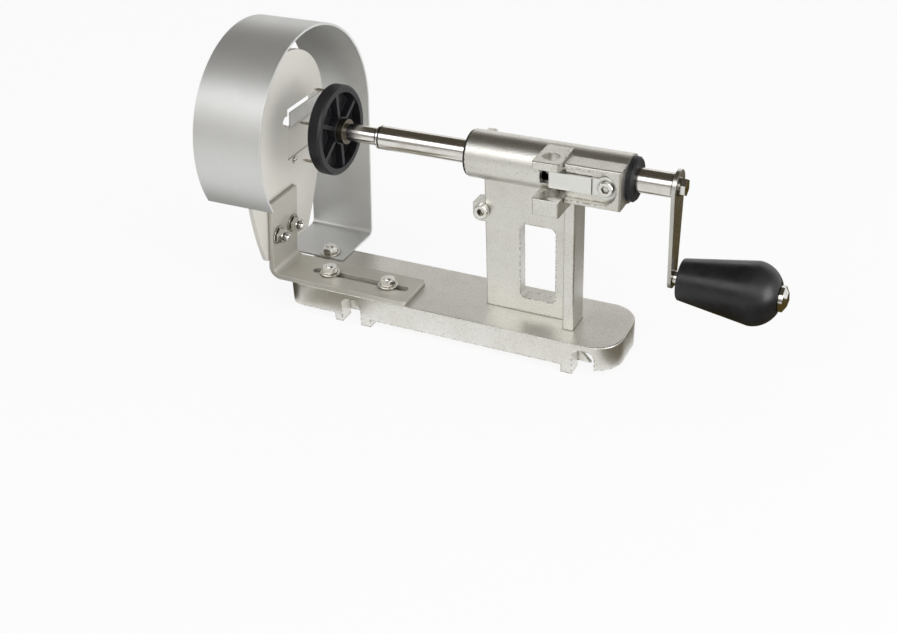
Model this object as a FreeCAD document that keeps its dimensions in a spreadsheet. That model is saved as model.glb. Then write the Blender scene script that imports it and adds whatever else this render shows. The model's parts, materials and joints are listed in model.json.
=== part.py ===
"""Hand cranked spiral potato cutter, built piece by piece as a parametric document.

Bench frame used in the comments: X runs along the shaft from the blade to the crank, Y from the
operator's side to the far side, Z up, with zero on the top face of the base and on the shaft's
line.  Every piece is moved by the frame shift into the part's own frame, whose origin is the
middle of the underside of the whole cutter.  All sizes are millimetres.
"""
import FreeCAD
import Part
import Sketcher
import math
import os
import re

SIZES = [
    ("shift_x", -14.6, "bench zero along the shaft, seen from the part's origin"),
    ("shift_y", 1.0, "bench zero across the shaft, seen from the part's origin"),
    ("top_z", 24.0, "height of the base's top face above the table"),
    ("run_fit", 0.03, "radial running clearance of a shaft in its bore"),
    ("hole_fit", 0.25, "radial clearance of a bolt in a plain hole"),
    ("face_gap", 0.3, "gap kept between curved or moving faces"),
    ("past", 1.0, "how far a cutting tool runs past a face, and a joined box into its neighbour"),
    ("shaft_z", 115.1, "height of the shaft's line above the base's top face"),
    ("base_left", -150.0, "blade end of the base"),
    ("base_right", 103.0, "crank end of the base"),
    ("base_near", -25.5, "operator's side of the base"),
    ("base_far", 34.2, "far side of the base"),
    ("base_skirt", 18.0, "depth of the base's side wall"),
    ("base_wall", 4.0, "thickness of the base's side wall"),
    ("base_deck", 5.0, "thickness of the base's top"),
    ("base_round_right", 20.0, "corner radius at the crank end"),
    ("base_round_left", 12.0, "corner radius at the blade end"),
    ("base_edge", 1.0, "small rounding along the top edge"),
    ("leg_depth", 12.0, "how far a leg reaches in under the base"),
    ("leg_left_start", -110.0, "first leg, outer face"),
    ("leg_left_thin", 6.0, "first leg's width along the shaft"),
    ("notch_left", -104.0, "start of the blade end's notch"),
    ("notch_width", 15.2, "width of a notch"),
    ("notch_roof", 4.2, "metal left above a notch"),
    ("notch_round", 6.0, "radius of a notch's upper corners"),
    ("gusset_low", 20.0, "underside of the gusset behind a notch"),
    ("gusset_thick", 2.5, "thickness of the gusset behind a notch"),
    ("gusset_start", 10.5, "where a gusset's slanted edge starts below the base's top face"),
    ("leg_wide", 8.0, "width of the wider legs"),
    ("notch_right", 73.5, "start of the crank end's notch"),
    ("rib_thick", 4.0, "thickness of the cross ribs under the base"),
    ("rib_left_x", -40.0, "middle of the first cross rib"),
    ("rib_right_x", 34.0, "middle of the second cross rib"),
    ("web_left", 0.0, "left edge of the upright"),
    ("web_right", 60.6, "where the upright meets its flange"),
    ("web_sink", 6.0, "how far the upright's top stays below the shaft's line"),
    ("web_near", 0.5, "operator's face of the upright"),
    ("web_thick", 8.8, "thickness of the upright"),
    ("flange_right", 68.3, "outer face of the upright's flange"),
    ("flange_near", -10.6, "operator's edge of the flange"),
    ("window_left", 25.5, "left edge of the window"),
    ("window_right", 51.1, "right edge of the window"),
    ("window_low", 11.4, "sill of the window"),
    ("window_high", 68.7, "head of the window"),
    ("window_round", 4.5, "corner radius of the window"),
    ("house_r", 15.9, "radius of the shaft housing"),
    ("house_left", -6.5, "blade end of the shaft housing"),
    ("house_right", 101.5, "crank end of the shaft housing"),
    ("house_bore", 11.5, "radius of the bore through the housing"),
    ("block_left", 64.4, "left end of the square block on the housing"),
    ("block_near", -22.0, "operator's face of the block"),
    ("block_half", 13.5, "half height of the block"),
    ("block_round", 1.2, "rounding of the block's front edges"),
    ("pocket_floor", -17.5, "floor of the pocket in the block"),
    ("pocket_half", 11.0, "half height of the pocket"),
    ("pocket_end", 88.0, "centre of the pocket's round end"),
    ("gate_left", 46.0, "left end of the side opening in the housing"),
    ("gate_half", 5.8, "half height of the side opening"),
    ("ear_left", 46.4, "left side of the two ears"),
    ("ear_wide", 17.8, "width of the ears along the shaft"),
    ("ear_near", -30.0, "operator's face of the ears"),
    ("ear_back", 2.0, "where the ears end inside the housing"),
    ("ear_top_high", 15.7, "top of the upper ear above the shaft's line"),
    ("ear_top_low", 10.2, "underside of the upper ear above the shaft's line"),
    ("ear_low_top", -9.6, "top of the lower ear below the shaft's line"),
    ("ear_low_foot", -21.1, "underside of the lower ear below the shaft's line"),
    ("ear_hole_x", 55.2, "place of the ears' pin hole along the shaft"),
    ("ear_hole_y", -19.1, "place of the ears' pin hole across the shaft"),
    ("ear_hole_r", 5.5, "radius of the ears' pin hole"),
    ("lug_x", -1.1, "centre of the clamp lug's screw along the shaft"),
    ("lug_z", 74.0, "centre of the clamp lug's screw above the base"),
    ("lug_left", -8.7, "outer face of the clamp lug"),
    ("lug_low", 65.3, "underside of the clamp lug"),
    ("lug_high", 78.2, "top of the clamp lug"),
    ("lug_deep", 13.0, "depth of the clamp lug across the shaft"),
    ("lug_round", 4.5, "rounding of the clamp lug's lower corner"),
    ("cast_edge", 1.0, "small rounding along the casting's edges"),
    ("back_lug_left", -3.4, "left end of the lug behind the housing"),
    ("back_lug_right", 3.1, "right end of the lug behind the housing"),
    ("back_lug_near", 9.0, "near face of the lug behind the housing"),
    ("back_lug_far", 17.0, "far face of the lug behind the housing"),
    ("back_lug_low", 3.0, "underside of that lug above the shaft's line"),
    ("back_lug_high", 11.6, "top of that lug above the shaft's line"),
    ("bush_flange_r", 15.2, "radius of the front bush's flange"),
    ("bush_front_lip", 1.5, "thickness of the front bush's flange"),
    ("bush_long", 20.0, "length of a bush inside the housing"),
    ("bush_rear_r", 14.4, "radius of the rear bush's flange"),
    ("bush_rear_lip", 4.5, "thickness of the rear bush's flange"),
    ("bush_bevel", 1.2, "bevel of the rear bush's flange"),
    ("bar_left", 53.8, "free end of the side bar"),
    ("bar_step", 82.0, "where the thick part of the side bar ends"),
    ("bar_half", 5.6, "half height of the side bar"),
    ("bar_near", -20.0, "operator's face of the side bar"),
    ("bar_tail_near", -19.0, "operator's face of the bar's round tail"),
    ("bar_inner", -9.6, "inner face of the bar's tongue"),
    ("bar_screw_x", 91.5, "centre of the bar's screw and round tail"),
    ("bar_tail_r", 7.5, "radius of the bar's round tail"),
    ("sleeve_left", -75.0, "blade end of the sliding sleeve"),
    ("sleeve_right", 129.7, "crank end of the sliding sleeve"),
    ("sleeve_r", 8.0, "radius of the sliding sleeve"),
    ("sleeve_bevel", 0.8, "bevel at the sleeve's ends"),
    ("rod_r", 6.0, "radius of the crank rod inside the sleeve"),
    ("rod_left", -117.6, "blade end of the crank rod"),
    ("rod_right", 130.0, "crank end of the crank rod"),
    ("stop_left", -78.0, "blade side of the stop ring on the rod"),
    ("stop_bevel", 1.6, "bevel of the stop ring"),
    ("crank_thread", 20.0, "depth of the threaded hole in the crank rod's end"),
    ("crank_bolt_long", 20.5, "length of the crank bolt's thread"),
    ("crank_washer_r", 5.9, "radius of the crank bolt's washer"),
    ("crank_washer_thick", 0.8, "thickness of the crank bolt's washer"),
    ("skewer_r", 2.3, "radius of the rod's skewer bore"),
    ("skewer_deep", 60.0, "depth of the rod's skewer bore"),
    ("wheel_back", -115.6, "blade side of the potato wheel"),
    ("wheel_front", -106.4, "crank side of the potato wheel"),
    ("wheel_r", 31.2, "radius of the potato wheel"),
    ("wheel_rim", 25.6, "inner radius of the wheel's rim"),
    ("wheel_hub", 9.4, "radius of the wheel's hub"),
    ("wheel_disc", 2.6, "thickness of the wheel's closed back"),
    ("wheel_bevel", 1.2, "bevel of the wheel's rim"),
    ("wheel_draft", 0.8, "how much wider the rim's inside is at its front"),
    ("spoke_count", 6.0, "number of spokes"),
    ("spoke_wide", 2.6, "width of a spoke"),
    ("spoke_sink", 1.0, "how far the spokes lie below the rim"),
    ("spoke_turn", 31.5, "angle of the first spoke"),
    ("collar_r", 8.6, "radius of the collar beside the wheel"),
    ("collar_right", -101.6, "crank side of the collar"),
    ("spike_count", 6.0, "number of spikes"),
    ("spike_r", 1.0, "radius of a spike"),
    ("spike_ring", 28.0, "radius of the ring of spikes"),
    ("spike_tip", -125.6, "point of a spike"),
    ("spike_taper", 3.0, "length of a spike's point"),
    ("spike_sunk", 6.0, "how deep a spike sits in the rim"),
    ("spike_turn", 31.5, "angle of the first spike"),
    ("arm_thick", 2.5, "thickness of the crank arm"),
    ("arm_eye_r", 10.8, "radius of the arm's upper end"),
    ("arm_foot_r", 7.0, "radius of the arm's lower end"),
    ("arm_drop", 64.8, "distance between the arm's two holes"),
    ("knob_start", 136.7, "small end of the knob"),
    ("knob_small", 13.6, "radius of the knob's small end"),
    ("knob_long", 47.3, "length of the knob's tapered part"),
    ("knob_wide", 20.8, "radius of the knob where it is widest"),
    ("knob_dome", 18.5, "half axis of the knob's domed end"),
    ("knob_crown", 16.0, "length of the knob beyond its widest place"),
    ("knob_edge", 1.4, "rounding of the knob's small end"),
    ("axle_r", 3.0, "radius of the knob's axle"),
    ("cap_r", 8.4, "radius of the axle's domed cap"),
    ("cap_flat_r", 4.62, "radius of the flat on the axle's cap"),
    ("cap_rim", 2.6, "height of the cap's rim"),
    ("cap_high", 5.8, "height of the axle's domed cap"),
    ("spacer_r", 5.0, "radius of the spacer behind the knob"),
    ("guard_left", -176.9, "blade side of the guard"),
    ("guard_right", -125.0, "crank side of the guard"),
    ("guard_y", -1.0, "centre of the guard's round part"),
    ("guard_z", 112.8, "centre of the guard's round part above the base"),
    ("guard_r", 73.2, "outer radius of the guard"),
    ("guard_sheet", 1.5, "thickness of the guard's sheet"),
    ("guard_low_angle", 27.0, "angle of the guard's near end below level"),
    ("guard_slope", 5.5, "inward slope of the guard's straight side"),
    ("guard_bend", 4.0, "inner radius of the guard's foot bend"),
    ("guard_foot_near", 15.0, "near edge of the guard's foot"),
    ("guard_bolt_x", -138.7, "place of the guard's bolt"),
    ("guard_bolt_y", 21.0, "place of the guard's bolt"),
    ("head_x", -152.0, "front face of the cutter plate at the shaft's line"),
    ("lean", 6.0, "forward lean of the cutter plate in degrees"),
    ("plate_thick", 3.5, "thickness of the cutter plate"),
    ("plate_r", 50.3, "radius of the plate's round head"),
    ("plate_y", 0.8, "middle of the plate across the shaft"),
    ("plate_side_r", 248.0, "radius of the plate's long sides"),
    ("plate_low", 101.3, "how far the plate reaches below the shaft's line"),
    ("plate_corner", 2.4, "radius of the plate's lower corners"),
    ("core_r", 4.1, "radius of the hole for the skewer"),
    ("core_y", 0.8, "middle of that hole across the shaft"),
    ("core_v", -1.0, "middle of that hole, seen from the shaft's line"),
    ("cut_near", 2.8, "near edge of the plate's cutting window"),
    ("cut_far", 45.8, "far edge of the plate's cutting window"),
    ("cut_high", 7.9, "top of the cutting window above the shaft's line"),
    ("cut_low", -32.0, "foot of the cutting window"),
    ("ramp_top", -10.6, "top of the ramp below the blade"),
    ("ramp_deep", 4.6, "how far the ramp's top lies behind the plate's face"),
    ("ramp_thick", 1.6, "thickness of the ramp"),
    ("ramp_set", 0.7, "how far the ramp's foot lies behind the plate's face"),
    ("ramp_root", 0.2, "how far the ramp's foot runs into the plate"),
    ("ramp_side", 0.5, "gap at the ramp's sides"),
    ("blade_low", -9.0, "cutting edge of the blade"),
    ("blade_high", 4.8, "back of the blade"),
    ("blade_thick", 1.4, "thickness of the blade"),
    ("blade_near", 4.7, "free end of the blade"),
    ("blade_far", 50.0, "fixed end of the blade"),
    ("blade_grind", 3.4, "width of the ground edge"),
    ("blade_screw_y", 48.0, "place of the blade's screw across the shaft"),
    ("blade_screw_v", -1.6, "place of the blade's screw along the plate"),
    ("ramp_screw_y", 11.6, "place of the small screw under the window"),
    ("ramp_screw_v", -35.0, "place of the small screw under the window"),
    ("ramp_screw_gap", 24.0, "distance to the second small screw"),
    ("small_screw_r", 1.5, "radius of the small screws' threads"),
    ("small_head_r", 2.5, "radius of the small screws' heads"),
    ("small_head", 1.3, "height of the small screws' heads"),
    ("small_head_round", 0.78, "rounding of the small screws' heads"),
    ("bracket_thick", 3.5, "thickness of the angle bracket"),
    ("bracket_near", -25.4, "near edge of the angle bracket"),
    ("bracket_far", 8.4, "far edge of the angle bracket"),
    ("bracket_right", -52.0, "crank end of the bracket's foot"),
    ("bracket_bend", 5.0, "inner radius of the bracket's bend"),
    ("bracket_corner", 2.5, "radius of the corners of the bracket's foot"),
    ("bracket_high", -54.0, "top of the bracket below the shaft's line, along the plate"),
    ("slot_left", -135.8, "blade end of the bracket's slot"),
    ("slot_right", -57.8, "crank end of the bracket's slot"),
    ("slot_half", 3.3, "half width of the bracket's slot"),
    ("slot_y", -8.6, "middle of the bracket's slot"),
    ("slot_bolt_first", -121.7, "first bolt in the slot"),
    ("slot_bolt_second", -73.8, "second bolt in the slot"),
    ("head_bolt_y", -8.2, "middle of the two bolts that hold the plate"),
    ("head_bolt_half", 9.8, "half the distance between those bolts"),
    ("head_bolt_v", -82.0, "place of those bolts along the plate"),
    ("bolt_five", 2.45, "radius of the five millimetre bolts"),
    ("bolt_six", 2.95, "radius of the six millimetre bolts"),
    ("hex_five", 4.0, "half across flats of the five millimetre heads"),
    ("hex_six", 5.0, "half across flats of the six millimetre nuts"),
    ("nut_low", 4.4, "height of the nuts on the base"),
    ("nut_six", 5.0, "height of the nuts that hold the plate"),
    ("bolt_head", 3.6, "height of the hexagon heads"),
    ("bolt_stub", 1.0, "thread standing out of the nuts on the base"),
    ("head_bolt_stub", 3.4, "thread standing out of the nuts that hold the plate"),
    ("nut_chamfer", 0.6, "height of the chamfer on a nut's corners"),
    ("nut_face_ratio", 1.02, "radius of a nut's face over half its width across flats"),
    ("nut_corner_ratio", 1.17, "radius over a nut's corners over half its width across flats"),
    ("washer_r", 6.6, "radius of the washers that hold the plate"),
    ("wide_washer_r", 7.2, "radius of the washers on the base"),
    ("washer_thick", 1.2, "thickness of the washers"),
    ("cap_head_r", 5.0, "radius of the cap screws' heads"),
    ("cap_head", 5.0, "height of the cap screws' heads"),
    ("head_bevel", 0.5, "bevel of the cap screws' heads"),
    ("bar_head", 2.6, "height of the side bar's screw head"),
    ("bar_screw_bite", 5.0, "thread of the side bar's screw in the block"),
    ("lug_screw_long", 10.8, "thread of the clamp lug's screw"),
    ("socket_half", 2.5, "half across flats of a cap screw's socket"),
    ("socket_share", 0.56, "depth of a socket over the height of its head"),
    ("foot_screw_left", 12.0, "first screw under the upright"),
    ("foot_screw_right", 56.0, "second screw under the upright"),
    ("foot_screw_long", 9.0, "thread of those screws in the upright"),
]

SHEET = "Sizes"
ALIASES = {name for name, value, note in SIZES}
FINISHED = []

doc = FreeCAD.newDocument("SpiralPotatoCutter")
sheet = doc.addObject("Spreadsheet::Sheet", SHEET)
for row, (name, value, note) in enumerate(SIZES, start=1):
    sheet.set("A%d" % row, note)
    sheet.set("B%d" % row, repr(value))
    sheet.setAlias("B%d" % row, name)
doc.recompute()


def size(name):
    """Return the number in the sheet's cell of that alias."""
    return float(getattr(sheet, name))


def formula(text):
    """Turn plain size names in a text into references to the sheet's cells."""
    def swap(found):
        word = found.group(0)
        return SHEET + "." + word if word in ALIASES else word
    return re.sub(r"[a-z_]+", swap, str(text))


def bind(item, **cells):
    """Bind properties of an object to formulas over the sheet."""
    for prop, text in cells.items():
        item.setExpression(prop, formula(text))
    return item


def seat(item, x, y, z, shifted=True):
    """Bind an object's position, in the bench frame unless it belongs to a local group."""
    if shifted:
        x = "(%s) + shift_x" % x
        y = "(%s) + shift_y" % y
        z = "(%s) + top_z" % z
    item.setExpression(".Placement.Base.x", formula(x))
    item.setExpression(".Placement.Base.y", formula(y))
    item.setExpression(".Placement.Base.z", formula(z))
    return item


def turn(item, axis, angle):
    """Turn an object about an axis through its own origin."""
    item.Placement = FreeCAD.Placement(
        FreeCAD.Vector(), FreeCAD.Rotation(FreeCAD.Vector(*axis), angle))
    return item


def box(name, length, width, height, x, y, z, shifted=True):
    """Make a box from its three sides and its lowest corner."""
    item = doc.addObject("Part::Box", name)
    bind(item, Length=length, Width=width, Height=height)
    return seat(item, x, y, z, shifted)


TURNS = {
    "+X": ((0, 1, 0), 90),
    "-X": ((0, 1, 0), -90),
    "+Y": ((1, 0, 0), -90),
    "-Y": ((1, 0, 0), 90),
    "+Z": ((0, 0, 1), 0),
    "-Z": ((1, 0, 0), 180),
}


def rod(name, radius, length, x, y, z, along="+X", shifted=True):
    """Make a cylinder that starts at a point and runs along an axis."""
    item = doc.addObject("Part::Cylinder", name)
    bind(item, Radius=radius, Height=length)
    turn(item, *TURNS[along])
    return seat(item, x, y, z, shifted)


def hexagon(name, half_flats, length, x, y, z, along="+X", shifted=True):
    """Make a hexagonal bar from half its width across flats."""
    item = doc.addObject("Part::Prism", name)
    item.Polygon = 6
    bind(item, Circumradius="(%s) / cos(30)" % half_flats, Height=length)
    turn(item, *TURNS[along])
    return seat(item, x, y, z, shifted)


def join(name, *pieces):
    """Fuse solids one after another and remove the seams between coplanar faces."""
    whole = pieces[0]
    for number, piece in enumerate(pieces[1:], start=1):
        item = doc.addObject("Part::Fuse", "%s_%d" % (name, number))
        item.Base = whole
        item.Tool = piece
        item.Refine = True
        whole = item
    return whole


def cut(name, base, *tools):
    """Cut tools out of a base solid, one after another."""
    rest = base
    for number, tool in enumerate(tools, start=1):
        item = doc.addObject("Part::Cut", "%s_%d" % (name, number))
        item.Base = rest
        item.Tool = tool
        item.Refine = True
        rest = item
    return rest


def round_edges(name, base, radius, chosen):
    """Round the edges for which chosen(edge) is true."""
    doc.recompute()
    picked = [number for number, edge in enumerate(base.Shape.Edges, start=1) if chosen(edge)]
    if not picked:
        raise ValueError("no edge to round on " + name)
    item = doc.addObject("Part::Fillet", name)
    item.Base = base
    item.Edges = [(number, size(radius), size(radius)) for number in picked]
    return item


def ends(edge):
    """Return an edge's two end points in the bench frame."""
    shift = FreeCAD.Vector(size("shift_x"), size("shift_y"), size("top_z"))
    return [vertex.Point - shift for vertex in (edge.Vertexes[0], edge.Vertexes[-1])]


def finish(node, item):
    """Name a finished piece and put it on the list of pieces to write."""
    item.Label = node
    FINISHED.append(item)
    return item


def profile_sketch(body, points):
    """Draw a closed profile of straight lines on the body's XZ plane, bound to the sheet.

    Each point is a pair of formulas: the distance along the turning axis and the radius.
    """
    plane = next(f for f in body.Origin.OriginFeatures if f.Role == "XZ_Plane")
    sketch = body.newObject("Sketcher::SketchObject", body.Name + "_profile")
    sketch.AttachmentSupport = [(plane, "")]
    sketch.MapMode = "FlatFace"
    probe = doc.addObject("App::FeaturePython", body.Name + "_probe")
    values = []
    for number, pair in enumerate(points):
        row = []
        for letter, text in zip("ab", pair):
            prop = "%s%d" % (letter, number)
            probe.addProperty("App::PropertyFloat", prop)
            probe.setExpression(prop, formula(text))
            row.append(prop)
        values.append(row)
    doc.recompute()
    spots = [tuple(float(getattr(probe, prop)) for prop in row) for row in values]
    doc.removeObject(probe.Name)
    count = len(spots)
    for number in range(count):
        first = FreeCAD.Vector(spots[number][0], spots[number][1], 0)
        second = FreeCAD.Vector(*spots[(number + 1) % count], 0)
        sketch.addGeometry(Part.LineSegment(first, second), False)
    limits = []
    for number in range(count):
        limits.append(Sketcher.Constraint("Coincident", number, 2, (number + 1) % count, 1))
    sketch.addConstraint(limits)
    for number, (across, up) in enumerate(spots):
        pairs = (("DistanceX", across, -2, points[number][0]),
                 ("DistanceY", up, -1, points[number][1]))
        for kind, value, line, text in pairs:
            if abs(value) < 1e-9:
                sketch.addConstraint(Sketcher.Constraint("PointOnObject", number, 1, line))
                continue
            index = sketch.addConstraint(Sketcher.Constraint(kind, -1, 1, number, 1, value))
            label = "%s_%d" % (kind, number)
            sketch.renameConstraint(index, label)
            sketch.setExpression("Constraints." + label, formula(text))
    return sketch


def turned(node, points, x, y, z, along="+X", shifted=True):
    """Make a turned piece by revolving a profile about its own axis."""
    body = doc.addObject("PartDesign::Body", node + "_body")
    sketch = profile_sketch(body, points)
    round_part = body.newObject("PartDesign::Revolution", node + "_turn")
    round_part.Profile = sketch
    round_part.ReferenceAxis = (sketch, ["H_Axis"])
    round_part.Angle = 360
    sketch.Visibility = False
    body.Tip = round_part
    spins = {"+X": ((0, 0, 1), 0), "-X": ((0, 0, 1), 180), "+Y": ((0, 0, 1), 90),
             "-Y": ((0, 0, 1), -90), "+Z": ((0, 1, 0), -90), "-Z": ((0, 1, 0), 90)}
    turn(body, *spins[along])
    return seat(body, x, y, z, shifted)


def ring(node, inner, outer, length, x, y, z, along="+X", shifted=True):
    """Make a plain ring or washer."""
    points = [("0", inner), (length, inner), (length, outer), ("0", outer)]
    return turned(node, points, x, y, z, along, shifted)


def face_shape(wire, direction):
    """Extrude a closed wire's face along a vector."""
    return Part.Face(wire).extrude(direction)


def set_shape(name, shape):
    """Keep a shape made from the sheet's sizes as a document object."""
    item = doc.addObject("Part::Feature", name)
    item.Shape = shape
    return item


def roof_side(edge):
    """Tell whether an edge runs across the base along a notch's roof."""
    first, last = ends(edge)
    level = all(abs(point.z + size("notch_roof")) < 0.01 for point in (first, last))
    return level and abs(first.y - last.y) > size("past")


def gusset(side, spot):
    """Web with a slanted upper edge behind a notch, between its legs."""
    back = "base_near + leg_depth" if side == "near" else "base_far - leg_depth - gusset_thick"
    root = -size("leg_left_thin")
    top = -size("base_deck") + size("ramp_root")
    slant = size("gusset_low") - size("gusset_start")
    corners = [FreeCAD.Vector(root, 0, -size("gusset_low")),
               FreeCAD.Vector(slant, 0, -size("gusset_low")),
               FreeCAD.Vector(0, 0, -size("gusset_start")),
               FreeCAD.Vector(0, 0, top),
               FreeCAD.Vector(root, 0, top)]
    web = face_shape(Part.makePolygon(corners + corners[:1]),
                     FreeCAD.Vector(0, size("gusset_thick"), 0))
    piece = set_shape("gusset_%s_%s" % (side, spot), web)
    return seat(piece, "notch_" + spot, back, "0")


def base_casting():
    """Hollow base with two notches on each side, its legs and the gussets behind the notches."""
    block = box("base_block", "base_right - base_left", "base_far - base_near", "base_skirt",
                "base_left", "base_near", "-base_skirt")

    def corner(edge, side):
        first, last = ends(edge)
        upright = abs(first.x - last.x) < 0.01 and abs(first.y - last.y) < 0.01
        return upright and abs(first.x - size(side)) < 0.01

    right = round_edges("base_round_right_ends", block, "base_round_right",
                        lambda edge: corner(edge, "base_right"))
    shell = round_edges("base_round_left_ends", right, "base_round_left",
                        lambda edge: corner(edge, "base_left"))
    soft = round_edges("base_soft_top", shell, "base_edge",
                       lambda edge: all(abs(point.z) < 0.01 for point in ends(edge)))
    hollow = box("base_hollow", "base_right - base_left - 2 * base_wall",
                 "base_far - base_near - 2 * base_wall", "base_skirt - base_deck + past",
                 "base_left + base_wall", "base_near + base_wall", "-base_skirt - past")
    hollow_round = round_edges("base_hollow_round", hollow, "base_round_left",
                               lambda edge: abs(ends(edge)[0].z - ends(edge)[1].z) > 2)
    cavity = cut("base_cavity", soft, hollow_round)
    legs = []
    rows = (("near", "base_near"), ("far", "base_far - leg_depth"))
    places = (("left_outer", "leg_left_start", "leg_left_thin"),
              ("left_inner", "notch_left + notch_width", "leg_wide"),
              ("right_inner", "notch_right - leg_wide", "leg_wide"))
    for side, row in rows:
        for spot, start, width in places:
            legs.append(box("leg_%s_%s" % (side, spot), width, "leg_depth", "top_z - notch_roof",
                            start, row, "-top_z"))
    rib_long = "base_far - base_near - 2 * base_wall + 2 * past"
    ribs = [box("rib_left", "rib_thick", rib_long, "base_skirt - base_deck",
                "rib_left_x - rib_thick / 2", "base_near + base_wall - past", "-base_skirt + base_deck"),
            box("rib_right", "rib_thick", rib_long,
                "base_skirt - base_deck", "rib_right_x - rib_thick / 2", "base_near + base_wall - past",
                "-base_skirt + base_deck")]
    gussets = [gusset(side, spot) for side in ("near", "far") for spot in ("left", "right")]
    whole = join("base_whole", cavity, *(legs + ribs + gussets))
    notches = []
    for side, row in (("near", "base_near - past"), ("far", "base_far - leg_depth")):
        for spot, start in (("left", "notch_left"), ("right", "notch_right")):
            name = "notch_%s_%s" % (side, spot)
            square = box(name, "notch_width", "leg_depth + past", "top_z - notch_roof + past",
                         start, row, "-top_z - past")
            notches.append(round_edges(name + "_round", square, "notch_round", roof_side))
    holes = []
    for number, place in enumerate(("slot_bolt_first", "slot_bolt_second"), start=1):
        holes.append(rod("base_slot_hole_%d" % number, "bolt_six + hole_fit", "base_deck + 2 * past",
                         place, "slot_y", "-base_deck - past", "+Z"))
    holes.append(rod("base_guard_hole", "bolt_six + hole_fit", "base_deck + 2 * past",
                     "guard_bolt_x", "guard_bolt_y", "-base_deck - past", "+Z"))
    for number, place in enumerate(("foot_screw_left", "foot_screw_right"), start=1):
        holes.append(rod("base_foot_hole_%d" % number, "bolt_five + hole_fit", "base_deck + 2 * past",
                         place, "web_near + web_thick / 2", "-base_deck - past", "+Z"))
    finish("base_casting", cut("base_finished", whole, *(notches + holes)))


def headstock_casting():
    """Upright with its window, the shaft housing, the square block, the ears and the lugs."""
    web = box("web", "web_right - web_left + past", "web_thick", "shaft_z - web_sink",
              "web_left", "web_near", "0")
    flange = box("flange", "flange_right - web_right", "web_near + web_thick - flange_near",
                 "shaft_z - web_sink", "web_right", "flange_near", "0")

    def standing(edge, side):
        first, last = ends(edge)
        upright = abs(first.z - last.z) > size("leg_depth")
        return upright and abs(getattr(first, side[0]) - side[1]) < 0.01

    web_soft = round_edges("web_soft", web, "cast_edge",
                           lambda edge: standing(edge, ("x", size("web_left"))))
    flange_soft = round_edges("flange_soft", flange, "cast_edge",
                              lambda edge: standing(edge, ("y", size("flange_near")))
                              or standing(edge, ("x", size("flange_right"))))
    house = rod("house", "house_r", "house_right - house_left", "house_left", "0", "shaft_z")
    block = box("block", "house_right - block_left", "-block_near", "2 * block_half",
                "block_left", "block_near", "shaft_z - block_half")
    block_soft = round_edges(
        "block_soft", block, "block_round",
        lambda edge: all(abs(point.y - size("block_near")) < 0.01 for point in ends(edge)))
    upper_ear = box("upper_ear", "ear_wide", "ear_back - ear_near", "ear_top_high - ear_top_low",
                    "ear_left", "ear_near", "shaft_z + ear_top_low")
    lower_ear = box("lower_ear", "ear_wide", "ear_back - ear_near", "ear_low_top - ear_low_foot",
                    "ear_left", "ear_near", "shaft_z + ear_low_foot")

    def ear_rim(edge):
        return all(abs(point.y - size("ear_near")) < 0.01 for point in ends(edge))

    upper_soft = round_edges("upper_ear_soft", upper_ear, "cast_edge", ear_rim)
    lower_soft = round_edges("lower_ear_soft", lower_ear, "cast_edge", ear_rim)
    lug = box("clamp_lug", "web_left - lug_left + past", "lug_deep", "lug_high - lug_low",
              "lug_left", "web_near", "lug_low")

    def lug_corner(edge):
        return all(abs(point.x - size("lug_left")) < 0.01 and abs(point.z - size("lug_low")) < 0.01
                   for point in ends(edge))

    lug_soft = round_edges("clamp_lug_soft", lug, "lug_round", lug_corner)
    back_lug = box("back_lug", "back_lug_right - back_lug_left", "back_lug_far - back_lug_near",
                   "back_lug_high - back_lug_low", "back_lug_left", "back_lug_near",
                   "shaft_z + back_lug_low")
    back_soft = round_edges(
        "back_lug_soft", back_lug, "cast_edge",
        lambda edge: all(abs(point.z - size("shaft_z") - size("back_lug_high")) < 0.01
                         for point in ends(edge)))
    whole = join("headstock_whole", web_soft, flange_soft, house, block_soft, upper_soft, lower_soft,
                 lug_soft, back_soft)
    window = box("window", "window_right - window_left", "web_thick + 2 * past", "window_high - window_low",
                 "window_left", "web_near - past", "window_low")
    window_round = round_edges(
        "window_rounded", window, "window_round",
        lambda edge: abs(ends(edge)[0].y - ends(edge)[1].y) > 2)
    bore = rod("house_hole", "house_bore", "house_right - house_left + 2 * past",
               "house_left - past", "0", "shaft_z")
    pocket_flat = box("pocket_flat", "pocket_end - block_left + past", "pocket_floor - block_near + past",
                      "2 * pocket_half", "block_left - past", "block_near - past", "shaft_z - pocket_half")
    pocket_round = rod("pocket_round", "pocket_half", "pocket_floor - block_near + past",
                       "pocket_end", "block_near - past", "shaft_z", "+Y")
    gate = box("gate", "house_right - bush_long - gate_left", "-block_near", "2 * gate_half",
               "gate_left", "block_near", "shaft_z - gate_half")
    pin_hole = rod("ear_hole_upper", "ear_hole_r", "ear_top_high - ear_top_low + 2 * past",
                   "ear_hole_x", "ear_hole_y", "shaft_z + ear_top_low - past", "+Z")
    pin_hole_low = rod("ear_hole_lower", "ear_hole_r", "ear_low_top - ear_low_foot + 2 * past",
                       "ear_hole_x", "ear_hole_y", "shaft_z + ear_low_foot - past", "+Z")
    lug_hole = rod("lug_hole", "bolt_six + run_fit", "lug_deep + 2 * past",
                   "lug_x", "web_near - past", "lug_z", "+Y")
    bar_hole = rod("bar_hole", "bolt_five + run_fit", "-block_near - house_bore + 2 * past",
                   "bar_screw_x", "block_near", "shaft_z", "+Y")
    feet = [rod("foot_hole_%d" % number, "bolt_five + run_fit", "foot_screw_long + 2 * past",
                place, "web_near + web_thick / 2", "-past", "+Z")
            for number, place in enumerate(("foot_screw_left", "foot_screw_right"), start=1)]
    finish("headstock_casting",
           cut("headstock_finished", whole, window_round, bore, pocket_flat, pocket_round, gate,
               pin_hole, pin_hole_low, lug_hole, bar_hole, *feet))


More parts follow.
